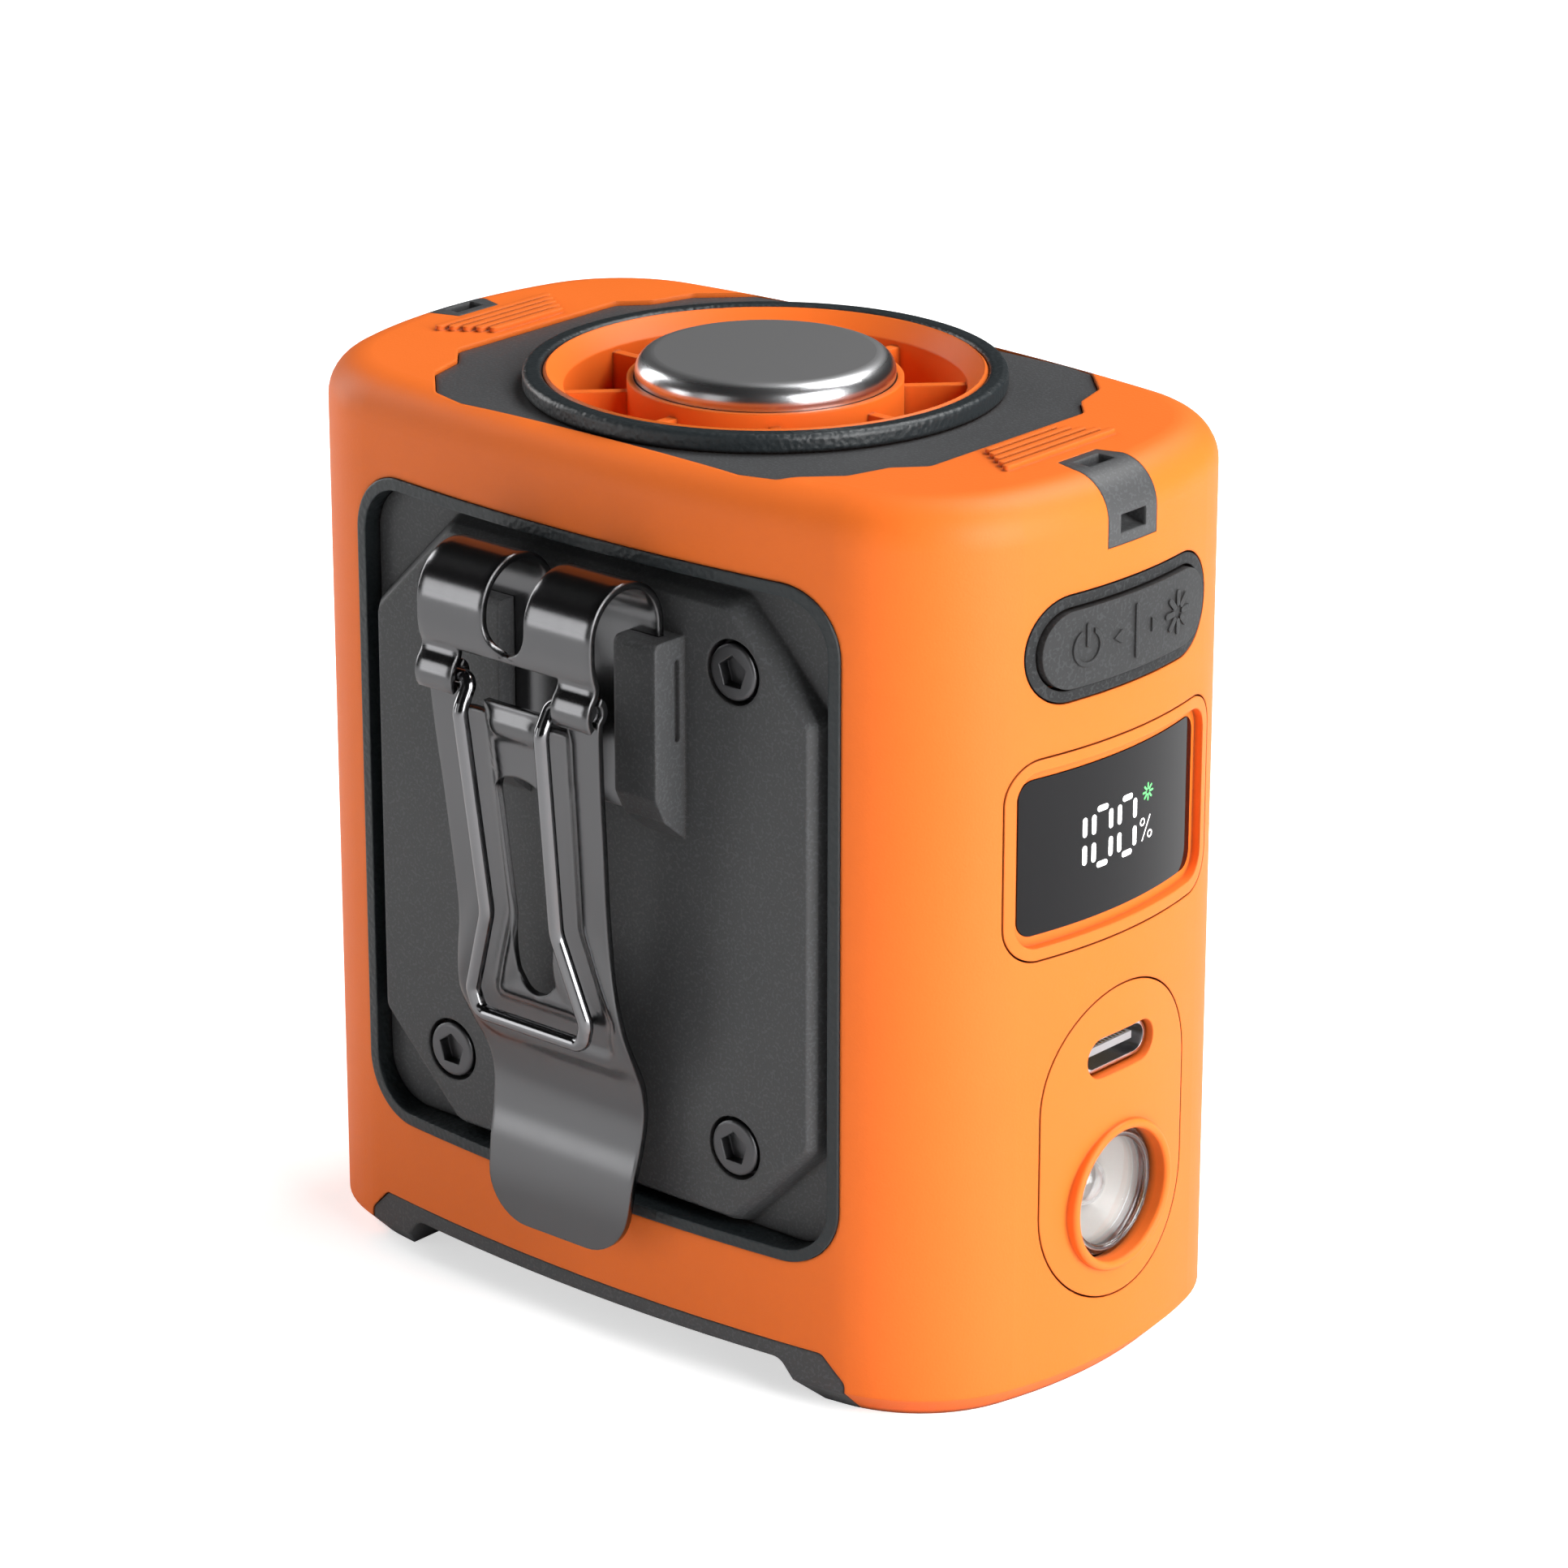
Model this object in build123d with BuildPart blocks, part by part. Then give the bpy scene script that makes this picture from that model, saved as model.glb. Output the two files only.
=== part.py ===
from build123d import *
import math
import os

# Belt-clip fan: a hand-sized upright housing with a round air outlet on top, an air intake underneath,
# a spring clip on the front (-Y) and the controls, display, charging port and torch on the right (+X).
# Millimetres, +Z up, origin at the middle of the standing face.

# ------------------------------------------------------------------ body
body_width = 84.0
body_depth = 50.8
body_height = 85.3
front_radius = 198.0
side_radius = 46.8
corner_radius = 14.8
top_round = 4.0
foot_bevel = 2.3
wall = 2.0
roof = 2.7
standing_rim = 1.2
fit_gap = 0.1
snug_gap = 0.05
seam_gap = 0.18

# ------------------------------------------------------------------ base
base_top = 6.4
arch_height = 4.0
arch_half = 22.5
arch_slope = 3.2
notch_half = 29.4
notch_height = 5.6
skid_half = 1.6
base_screw_x = 21.5
base_boss_radius = 2.6
base_boss_height = 4.0
screw_radius = 1.2
screw_play = 0.06
base_head_radius = 2.1
base_head_height = 1.2

# ------------------------------------------------------------------ windows for the front and rear panels
window_half = 28.84
window_low = 13.7
window_margin = 8.3
window_round = 6.0
pocket_wall = 1.2
pocket_floor = 1.0
panel_face = 21.8
panel_thickness = 1.5
gasket_width = 1.1
gasket_proud = 0.2
platform_face = 24.2
platform_half = 25.7
platform_rim = 1.3
platform_bevel = 9.0
panel_screw_x = 17.4
panel_screw_inset = 9.3
panel_head_radius = 2.6
panel_head_height = 1.7
panel_post_radius = 2.4
panel_post_length = 5.0

# ------------------------------------------------------------------ fan and outlet
outlet_margin = 3.5
outlet_ring_height = 1.8
outlet_ring_width = 1.8
lip_width = 1.9
lip_drop = 1.6
duct_wall = 1.0
outlet_depth = 8.2
plate_thickness = 1.5
plate_ledge = 2.0
hub_radius = 12.5
hub_rise = 0.45
hub_bottom = 60.0
hub_wall = 1.3
cap_margin = 0.7
cap_rise = 2.76
cap_sink = 5.3
cap_round = 1.8
vane_count = 8
vane_thickness = 1.0
vane_drop = 0.7
vane_depth = 11.3
intake_step = 0.5
blade_count = 7
blade_gap = 0.4
impeller_low = 40.0
impeller_high = 56.0
impeller_hub_radius = 11.7
impeller_floor = 1.6
rotor_outer = 10.2
rotor_inner = 8.9
stator_outer = 8.4
shaft_radius = 1.0
bearing_radius = 2.5
bearing_length = 2.6
tube_radius = 3.4
running_gap = 0.03

# ------------------------------------------------------------------ controls side
pad_half = 12.5
pad_low = 66.2
pad_high = 75.7
pad_width = 1.0
pad_depth = 1.5
key_gap = 0.25
key_proud = 0.5
key_depth = 1.3
icon_height = 0.2
key_pivot_inset = 2.8
key_pin_radius = 0.6
key_ear = 1.5
bezel_half = 14.3
bezel_low = 43.0
bezel_high = 61.5
bezel_round = 3.6
bezel_band = 1.1
bezel_ledge = 0.9
bezel_depth = 1.6
glass_inset = 0.8
glass_thickness = 0.8
port_half = 10.15
port_low = 8.1
port_high = 37.9
port_depth = 1.25
usb_height = 31.6
usb_width = 8.94
usb_tall = 3.16
usb_shell = 0.3
socket_gap = 0.6
torch_height = 17.6
torch_radius = 6.2
torch_lip = 0.85
torch_proud = 0.6
torch_gap = 0.35
board_face = 7.0
board_thickness = 1.6
board_half = 12.5

# ------------------------------------------------------------------ battery
cell_radius = 9.2
cell_length = 65.0
carrier_plate = 1.8

# ------------------------------------------------------------------ strap loops
loop_reach = 6.3
loop_half = 3.35
loop_tip_half = 2.6
loop_bar = 3.6
loop_slot = 1.7
loop_slot_half = 1.75
rib_count = 5
rib_pitch = 1.06
rib_inset = 12.5
rib_half = 4.8
rib_growth = 0.7
rib_width = 0.7
rib_height = 0.45

# ------------------------------------------------------------------ clip
sheet = 0.7
clip_half = 10.3
clip_back = 25.6
clip_tail = 53.0
curl_height = 71.0
curl_radius = 4.4
clip_gap_half = 2.5
clip_gap_low = 68.0
clip_window_half = 6.0
clip_window_top = 67.2
wire_radius = 0.7
wire_play = 0.08
pin_height = 64.6
pin_depth = 33.7
block_inner = 6.9
block_outer = 11.7
block_face = 28.0
block_top = 69.8
block_low = 50.5

half_width = body_width / 2
half_depth = body_depth / 2
front_reach = front_radius - half_depth
side_reach = side_radius - half_width
window_high = body_height - window_margin
hub_top = body_height + hub_rise
cap_radius = hub_radius - cap_margin
cap_top = body_height + cap_rise
cap_seat = body_height - cap_sink
vane_top = body_height - vane_drop
vane_bottom = body_height - vane_depth
rib_first = half_width - rib_inset


def corner_centre():
    """Centre of the rear right corner arc, tangent to the back arc and to the side arc."""
    to_back = front_radius - corner_radius
    to_side = side_radius - corner_radius
    span = math.hypot(front_reach, side_reach)
    along = (to_back**2 - to_side**2 + span**2) / (2 * span)
    across = math.sqrt(to_back**2 - along**2)
    ux = -side_reach / span
    uy = front_reach / span
    return along * ux + across * uy, along * uy - across * ux - front_reach


corner_x, corner_y = corner_centre()
side_angle = math.degrees(math.atan2(corner_y, corner_x + side_reach))
back_angle = math.degrees(math.atan2(corner_y + front_reach, corner_x))


def plan_outline(inset=0.0, height=0.0):
    """The body's outline in plan, drawn in by inset."""
    corner = corner_radius - inset
    turn = back_angle - side_angle
    with BuildSketch(Plane.XY.offset(height)) as plan:
        with BuildLine():
            CenterArc((-side_reach, 0), side_radius - inset, -side_angle, 2 * side_angle)
            CenterArc((corner_x, corner_y), corner, side_angle, turn)
            CenterArc((0, -front_reach), front_radius - inset, back_angle, 180 - 2 * back_angle)
            CenterArc((-corner_x, corner_y), corner, 180 - back_angle, turn)
            CenterArc((side_reach, 0), side_radius - inset, 180 - side_angle, 2 * side_angle)
            CenterArc((-corner_x, -corner_y), corner, 180 + side_angle, turn)
            CenterArc((0, front_reach), front_radius - inset, 180 + back_angle, 180 - 2 * back_angle)
            CenterArc((corner_x, -corner_y), corner, 360 - back_angle, turn)
        make_face()
    return plan.sketch


def side_x(y, inset=0.0):
    """Distance of the right wall from the YZ plane at y."""
    return math.sqrt((side_radius - inset) ** 2 - y**2) - side_reach


def body_envelope():
    """The outer form of the body as one solid."""
    with BuildPart() as envelope:
        extrude(plan_outline(), amount=body_height)
        fillet(envelope.faces().sort_by(Axis.Z)[-1].edges(), top_round)
        chamfer(envelope.faces().sort_by(Axis.Z)[0].edges(), foot_bevel)
    return envelope.part


def wall_slab(profile, outer_inset, inner_inset):
    """A profile drawn on the YZ plane, cut out of the right wall between two depths."""
    with BuildPart() as slab:
        extrude(profile, amount=body_width)
        extrude(plan_outline(outer_inset), amount=body_height, mode=Mode.INTERSECT)
        extrude(plan_outline(inner_inset), amount=body_height, mode=Mode.SUBTRACT)
    return slab.part


def side_rectangle(half, low, high, radius, grow=0.0):
    """Rounded rectangle on the YZ plane, grown outwards by grow."""
    with BuildSketch(Plane.YZ) as profile:
        with Locations((0, (low + high) / 2)):
            RectangleRounded(2 * (half + grow), high - low + 2 * grow, radius + grow)
    return profile.sketch


def pad_profile(grow=0.0):
    """Stadium round the rocker key."""
    return side_rectangle(pad_half, pad_low, pad_high, (pad_high - pad_low) / 2 - snug_gap, grow)


def bezel_profile(grow=0.0):
    """Outline of the display bezel."""
    return side_rectangle(bezel_half, bezel_low, bezel_high, bezel_round, grow)


def port_profile(grow=0.0):
    """Upright stadium of the port plate."""
    return side_rectangle(port_half, port_low, port_high, port_half - snug_gap, grow)


def side_stadium(width, height, middle):
    """Flat-lying stadium on the YZ plane."""
    with BuildSketch(Plane.YZ) as profile:
        with Locations((0, middle)):
            SlotOverall(width, height)
    return profile.sketch


def face_plane(side, depth):
    """Plane facing out of the front wall (side -1) or the back wall (side 1)."""
    return Plane(origin=(0, side * depth, 0), x_dir=(-side, 0, 0), z_dir=(0, side, 0))


window_middle = (window_low + window_high) / 2
pocket_front = panel_face - panel_thickness
pocket_back = pocket_front - pocket_floor


def window_sketch(side, depth, grow=0.0):
    """The front or rear window's outline, grown outwards by grow."""
    with BuildSketch(face_plane(side, depth)) as profile:
        with Locations((0, window_middle)):
            RectangleRounded(
                2 * (window_half + grow), window_high - window_low + 2 * grow, window_round + grow
            )
    return profile.sketch


panel_screw_heights = (window_low + panel_screw_inset, window_high - panel_screw_inset)
panel_screw_places = [(x, z) for x in (-panel_screw_x, panel_screw_x) for z in panel_screw_heights]

# The top plate's outline, in one quarter, steps in near the corners and follows the body's edge.
plate_half_x = half_width - 14.0
plate_half_y = half_depth - 3.1
plate_seat = body_height - 0.4 - plate_thickness


def plate_sketch(inset, height):
    """Outline of the top plate, drawn in by inset."""
    quarter = [
        (plate_half_x, plate_half_y - 11.7),
        (plate_half_x - 2.4, plate_half_y - 9.1),
        (plate_half_x - 3.6, plate_half_y - 4.9),
        (plate_half_x - 7.8, plate_half_y - 0.7),
        (plate_half_x - 11.5, plate_half_y),
    ]
    right = [(x, -y) for x, y in reversed(quarter)] + quarter
    left = [(-x, -y) for x, y in right]
    with BuildSketch(Plane.XY.offset(height)) as plan:
        with BuildLine():
            Polyline(*right, *left, close=True)
        make_face()
        if inset:
            offset(amount=-inset, kind=Kind.INTERSECTION, mode=Mode.REPLACE)
        fillet(plan.vertices(), 1.2)
    return plan.sketch


def notch_profile(shrink=0.0):
    """Opening in the lower edge of the front and back walls, seen from the front."""
    with BuildSketch(Plane.XZ) as profile:
        with BuildLine():
            Polyline(
                (-notch_half + shrink, 0),
                (-notch_half + shrink, notch_height - 2.4),
                (-notch_half + shrink + 2.4, notch_height - shrink),
                (notch_half - shrink - 2.4, notch_height - shrink),
                (notch_half - shrink, notch_height - 2.4),
                (notch_half - shrink, 0),
                close=True,
            )
        make_face()
        top_corners = profile.vertices().group_by(Axis.Y)[1:]
        fillet([corner for level in top_corners for corner in level], 1.0)
    return profile.sketch


rim_inset = foot_bevel + standing_rim
base_inset = rim_inset + fit_gap
base_screw_y = 17.6
base_screw_places = [(x, y) for x in (-base_screw_x, base_screw_x) for y in (-base_screw_y, base_screw_y)]


def loop_form(side, reach, spread):
    """Wedge round the upper edge, into which a strap loop is let."""
    with BuildPart() as form:
        with BuildSketch(Plane.XZ.offset(-loop_half - spread)):
            with Locations((side * half_width, body_height)):
                Circle(reach)
        extrude(amount=2 * (loop_half + spread))
        with BuildSketch(Plane.XY.offset(body_height - reach)):
            with BuildLine():
                Polyline(
                    (side * (half_width - reach), -loop_tip_half - spread),
                    (side * (half_width - top_round), -loop_half - spread),
                    (side * (half_width + 1), -loop_half - spread),
                    (side * (half_width + 1), loop_half + spread),
                    (side * (half_width - top_round), loop_half + spread),
                    (side * (half_width - reach), loop_tip_half + spread),
                    close=True,
                )
            make_face()
        extrude(amount=2 * reach, mode=Mode.INTERSECT)
    return form.part


# ------------------------------------------------------------------ housing
outlet_radius = half_depth - outlet_margin
lip_radius = outlet_radius - outlet_ring_width
throat_radius = lip_radius - lip_width
outlet_low = body_height - outlet_depth
duct_inner = throat_radius - intake_step
board_x = half_width - board_face
board_post_places = [(y, z) for y in (-9.5, 9.5) for z in (40.6, 63.9)]
pad_middle = (pad_low + pad_high) / 2
key_pivot_x = half_width - key_pivot_inset
ear_low = pad_low - key_ear / 2
ear_high = pad_high + key_ear / 2

def trim_to_wall():
    """Cut what is being built back to the middle of the housing's wall."""
    extrude(plan_outline(0.6 * wall), amount=body_height - roof / 2, mode=Mode.INTERSECT)


def pocket_blocks():
    """Solid blocks behind both windows, with the posts for the panel screws."""
    with BuildPart() as blocks:
        for side in (-1, 1):
            extrude(window_sketch(side, pocket_back, pocket_wall), amount=half_depth)
            with BuildSketch(face_plane(side, pocket_back - panel_post_length)):
                with Locations(*panel_screw_places):
                    Circle(panel_post_radius)
            extrude(amount=panel_post_length + pocket_floor / 2)
        trim_to_wall()
    return blocks.part


def loop_backings():
    """Thickening of the upper edge behind both strap loops."""
    with BuildPart() as backings:
        for side in (-1, 1):
            with BuildSketch(Plane.XZ.offset(-loop_half - pocket_wall)):
                with Locations((side * half_width, body_height)):
                    Circle(loop_reach + pocket_wall)
            extrude(amount=2 * (loop_half + pocket_wall))
        trim_to_wall()
    return backings.part


def base_bosses():
    """Screw bosses for the base plate, each tied to the wall by a rib."""
    with BuildPart() as bosses:
        with BuildSketch(Plane.XY.offset(base_top)):
            with Locations(*base_screw_places):
                Circle(base_boss_radius)
            for x, y in base_screw_places:
                with Locations((x, 1.18 * y)):
                    Rectangle(2.4, 0.36 * base_screw_y)
        extrude(amount=base_boss_height)
        trim_to_wall()
    return bosses.part


def board_posts():
    """Screw posts for the main board on the controls side."""
    with BuildPart() as posts:
        with BuildSketch(Plane.YZ.offset(board_x + fit_gap)):
            with Locations(*board_post_places):
                Circle(1.7)
        extrude(amount=board_face)
        trim_to_wall()
    return posts.part


def key_ears():
    """Two lugs that hold the rocker key's pivot pin."""
    with BuildPart() as ears:
        for middle in (ear_low, ear_high):
            with BuildSketch(Plane.XY.offset(middle - key_ear / 2)):
                with Locations((key_pivot_x + 0.4, 0)):
                    Rectangle(3.2, 3.6)
            extrude(amount=key_ear)
        trim_to_wall()
    return ears.part


with BuildPart() as housing:
    add(body_envelope())
    extrude(plan_outline(rim_inset), amount=base_top, mode=Mode.SUBTRACT)
    extrude(plan_outline(wall, base_top), amount=body_height - roof - base_top, mode=Mode.SUBTRACT)
    for fitting in (pocket_blocks(), loop_backings(), base_bosses(), board_posts(), key_ears()):
        add(fitting)
    for side in (-1, 1):
        extrude(window_sketch(side, pocket_front), amount=half_depth, mode=Mode.SUBTRACT)
        with BuildSketch(face_plane(side, pocket_front + 1)):
            with Locations(*panel_screw_places):
                Circle(screw_radius + screw_play)
        extrude(amount=-panel_post_length - pocket_floor - 1.5, mode=Mode.SUBTRACT)
    extrude(plate_sketch(-fit_gap, plate_seat), amount=body_height, mode=Mode.SUBTRACT)
    extrude(plate_sketch(plate_ledge, body_height - roof - 0.5), amount=roof - 0.5, mode=Mode.SUBTRACT)
    extrude(notch_profile(), amount=body_depth, both=True, mode=Mode.SUBTRACT)
    with BuildSketch(Plane.XY.offset(base_top - 1)):
        with Locations(*base_screw_places):
            Circle(screw_radius + screw_play)
    extrude(amount=base_boss_height + 2, mode=Mode.SUBTRACT)
    # recesses and openings of the controls side
    add(wall_slab(pad_profile(seam_gap), -1.0, pad_depth + snug_gap), mode=Mode.SUBTRACT)
    add(wall_slab(pad_profile(-pad_width), -1.0, wall + 0.1), mode=Mode.SUBTRACT)
    add(wall_slab(bezel_profile(seam_gap), -1.0, bezel_depth + snug_gap), mode=Mode.SUBTRACT)
    add(wall_slab(bezel_profile(-bezel_band - 0.6), -1.0, 2 * wall), mode=Mode.SUBTRACT)
    add(wall_slab(port_profile(seam_gap), -1.0, port_depth + snug_gap), mode=Mode.SUBTRACT)
    for opening in (
        side_stadium(usb_width + 2 * socket_gap, usb_tall + 2 * socket_gap, usb_height),
        side_stadium(2 * (torch_radius + torch_gap) + 0.1, 2 * (torch_radius + torch_gap), torch_height),
    ):
        add(wall_slab(opening, -1.0, wall + 0.1), mode=Mode.SUBTRACT)
    with BuildSketch(Plane.YZ.offset(board_x - 1)):
        with Locations(*board_post_places):
            Circle(0.85)
    extrude(amount=4.2, mode=Mode.SUBTRACT)
    with BuildSketch(Plane.XY.offset(ear_low - key_ear)):
        with Locations((key_pivot_x, 0)):
            Circle(key_pin_radius + running_gap)
    extrude(amount=ear_high - ear_low + 2 * key_ear, mode=Mode.SUBTRACT)
    for side in (-1, 1):
        add(loop_form(side, loop_reach + snug_gap, snug_gap), mode=Mode.SUBTRACT)
        # grip ribs beside each loop
        with BuildSketch(Plane.XY.offset(body_height - 0.2)):
            for i in range(rib_count):
                with Locations((side * (rib_first + i * rib_pitch), 0)):
                    SlotOverall(2 * (rib_half + i * rib_growth), rib_width, rotation=90)
        extrude(amount=rib_height + 0.2)
housing.part.label = "housing"

# ------------------------------------------------------------------ base plate, grille and screws
foot_slope = arch_half + arch_slope
with BuildPart() as base_plate:
    extrude(notch_profile(fit_gap), amount=body_depth, both=True)
    extrude(plan_outline(fit_gap), amount=body_height, mode=Mode.INTERSECT)
    add(body_envelope(), mode=Mode.INTERSECT)
    extrude(plan_outline(base_inset), amount=base_top - fit_gap)
    with BuildSketch(Plane.XZ) as arch:
        with BuildLine():
            Polyline(
                (-foot_slope, 0),
                (-arch_half, arch_height),
                (arch_half, arch_height),
                (foot_slope, 0),
                close=True,
            )
        make_face()
        fillet(arch.vertices().group_by(Axis.Y)[-1], 1.6)
    extrude(amount=body_depth, both=True, mode=Mode.SUBTRACT)
    with BuildSketch(Plane.XY):
        Rectangle(2 * foot_slope + 2, 2 * skid_half)
    extrude(amount=arch_height + 0.5)
    with BuildSketch(Plane.XY):
        Circle(duct_inner - 1.0)
        Rectangle(2 * duct_inner, 2 * skid_half + 0.4, mode=Mode.SUBTRACT)
    extrude(amount=base_top, mode=Mode.SUBTRACT)
    with BuildSketch(Plane.XY.offset(arch_height + 0.4)):
        Circle(duct_inner - 1.0)
    extrude(amount=base_top, mode=Mode.SUBTRACT)
    with BuildSketch(Plane.XY):
        with Locations(*base_screw_places):
            Circle(screw_radius + screw_play)
    extrude(amount=base_top, mode=Mode.SUBTRACT)
    with BuildSketch(Plane.XY):
        with Locations(*base_screw_places):
            Circle(base_head_radius + fit_gap)
    extrude(amount=arch_height + base_head_height, mode=Mode.SUBTRACT)
base_plate.part.label = "base_plate"

grille_radius = duct_inner - 1.0 - fit_gap
with BuildPart() as intake_grille:
    with BuildSketch(Plane.XY.offset(arch_height + 0.5)):
        Circle(grille_radius)
        for i in range(4):
            Circle(grille_radius - 1.2 - 3.4 * i, mode=Mode.SUBTRACT)
            Circle(grille_radius - 3.4 * (i + 1))
        for i in range(3):
            Rectangle(2 * grille_radius - 1, 1.2, rotation=60 * i)
    extrude(amount=1.3)
    with BuildSketch(Plane.XY.offset(arch_height + 0.5)):
        Circle(grille_radius)
        Circle(grille_radius - 1.2, mode=Mode.SUBTRACT)
    extrude(amount=base_top - arch_height)
    with BuildSketch(Plane.XY.offset(base_top + fit_gap)):
        Circle(duct_inner + duct_wall)
        Circle(grille_radius - 1.2, mode=Mode.SUBTRACT)
    extrude(amount=0.8)
intake_grille.part.label = "intake_grille"
duct_low = base_top + 0.9 + 2 * snug_gap

with BuildPart() as base_screws:
    with BuildSketch(Plane.XY.offset(arch_height + 0.1)):
        with Locations(*base_screw_places):
            Circle(base_head_radius)
    extrude(amount=base_head_height - 0.1)
    with BuildSketch(Plane.XY.offset(arch_height + 1.0)):
        with Locations(*base_screw_places):
            Circle(screw_radius)
    extrude(amount=base_top + base_boss_height - 0.4 - arch_height - 1.0)
    with BuildSketch(Plane.XY.offset(arch_height)):
        with Locations(*base_screw_places):
            Rectangle(2.2, 0.6)
            Rectangle(0.6, 2.2)
    extrude(amount=0.7, mode=Mode.SUBTRACT)
base_screws.part.label = "base_screws"

# ------------------------------------------------------------------ front and rear panels


def gasket(side):
    """Rubber strip lining a window, standing a little proud of the wall."""
    with BuildPart() as strip:
        extrude(window_sketch(side, pocket_front, -snug_gap), amount=half_depth)
        extrude(
            window_sketch(side, pocket_front, -snug_gap - gasket_width), amount=half_depth, mode=Mode.SUBTRACT
        )
        extrude(plan_outline(-gasket_proud), amount=body_height, mode=Mode.INTERSECT)
    return strip.part


def octagon(side, depth, grow):
    """Upright rectangle with its four corners cut off."""
    half = platform_half + grow
    low = window_low + window_half - platform_half - 0.6 - grow
    high = window_high - (window_half - platform_half) - 0.6 + grow
    cut = platform_bevel + 0.4 * grow
    with BuildSketch(face_plane(side, depth)) as profile:
        with BuildLine():
            Polyline(
                (-half, low + cut),
                (-half + cut, low),
                (half - cut, low),
                (half, low + cut),
                (half, high - cut),
                (half - cut, high),
                (-half + cut, high),
                (-half, high - cut),
                close=True,
            )
        make_face()
        fillet(profile.vertices(), 1.5)
    return profile.sketch


def panel_body(side):
    """Pan with a raised eight-sided platform and four screw recesses."""
    with BuildPart() as panel:
        extrude(
            window_sketch(side, pocket_front + snug_gap, -gasket_width - 3 * snug_gap),
            amount=panel_thickness - snug_gap,
        )
        foot = octagon(side, panel_face - 0.3, platform_rim)
        shoulder = octagon(side, platform_face - 0.9, platform_rim / 2)
        loft([foot.faces()[0], shoulder.faces()[0]])
        loft([shoulder.faces()[0], octagon(side, platform_face, 0.0).faces()[0]])
        with BuildSketch(face_plane(side, platform_face)):
            with Locations(*panel_screw_places):
                Circle(panel_head_radius + 0.4)
        extrude(amount=-panel_head_height - snug_gap, mode=Mode.SUBTRACT)
        with BuildSketch(face_plane(side, platform_face)):
            with Locations(*panel_screw_places):
                Circle(screw_radius + screw_play)
        extrude(amount=-half_depth, mode=Mode.SUBTRACT)
    return panel.part


def panel_screw_set(side):
    """Four pan-head screws with five-sided sockets."""
    shank_end = pocket_back - panel_post_length + 0.6
    with BuildPart() as screws:
        with BuildSketch(face_plane(side, platform_face - panel_head_height)):
            with Locations(*panel_screw_places):
                Circle(panel_head_radius)
        extrude(amount=panel_head_height + 0.15)
        fillet(screws.edges().filter_by(GeomType.CIRCLE).group_by(Axis.Y)[0 if side < 0 else -1], 0.35)
        with BuildSketch(face_plane(side, shank_end)):
            with Locations(*panel_screw_places):
                Circle(screw_radius)
        extrude(amount=platform_face - panel_head_height + 0.3 - shank_end)
        with BuildSketch(face_plane(side, platform_face + 0.15)):
            with Locations(*panel_screw_places):
                RegularPolygon(1.6, 5, rotation=18)
        extrude(amount=-1.1, mode=Mode.SUBTRACT)
    return screws.part


with BuildPart() as front_gasket:
    add(gasket(-1))
front_gasket.part.label = "front_gasket"

with BuildPart() as rear_gasket:
    add(gasket(1))
rear_gasket.part.label = "rear_gasket"

clip_slot_front = clip_back + sheet / 2 + snug_gap
clip_slot_back = clip_back - sheet / 2 - snug_gap
with BuildPart() as clip_panel:
    add(panel_body(-1))
    for side in (-1, 1):
        with BuildSketch(Plane.YZ.offset(side * block_inner)) as block:
            with BuildLine():
                Polyline(
                    (-platform_face + 0.5, block_low),
                    (-block_face + 1.2, block_low + 2.6),
                    (-block_face, block_low + 5.0),
                    (-block_face, block_top),
                    (-platform_face + 0.5, block_top),
                    close=True,
                )
            make_face()
            fillet(block.vertices().group_by(Axis.X)[0], 0.7)
        extrude(amount=side * (block_outer - block_inner))
    with BuildSketch(Plane.XY.offset(clip_tail - fit_gap)):
        with Locations((0, -(clip_slot_front + clip_slot_back) / 2)):
            Rectangle(2 * (clip_half + fit_gap), clip_slot_front - clip_slot_back)
    extrude(amount=body_height, mode=Mode.SUBTRACT)
    with BuildSketch(Plane.XY.offset(clip_tail + 0.6)):
        with Locations((0, -(clip_slot_back - fit_gap + platform_face) / 2 + 0.1)):
            Rectangle(2 * block_inner + 1, clip_slot_back - fit_gap - platform_face + 0.2)
    extrude(amount=block_top - clip_tail - 1.2)
    for side in (-1, 1):
        with BuildSketch(Plane.YZ.offset(side * (block_outer - 0.6))):
            with Locations((-platform_face - 0.9, 64.0)):
                SlotOverall(7.6, 0.7, rotation=90)
        extrude(amount=side * 1.0, mode=Mode.SUBTRACT)
clip_panel.part.label = "clip_panel"

with BuildPart() as rear_panel:
    add(panel_body(1))
rear_panel.part.label = "rear_panel"

with BuildPart() as front_panel_screws:
    add(panel_screw_set(-1))
front_panel_screws.part.label = "front_panel_screws"

with BuildPart() as rear_panel_screws:
    add(panel_screw_set(1))
rear_panel_screws.part.label = "rear_panel_screws"

# ------------------------------------------------------------------ belt clip
pin_wrap = wire_radius + wire_play + sheet / 2


def around_pin(angle, radius=pin_wrap):
    """Point at an angle round the clip's pin, on the YZ plane."""
    turn = math.radians(angle)
    return -pin_depth + radius * math.cos(turn), pin_height + radius * math.sin(turn)


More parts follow.
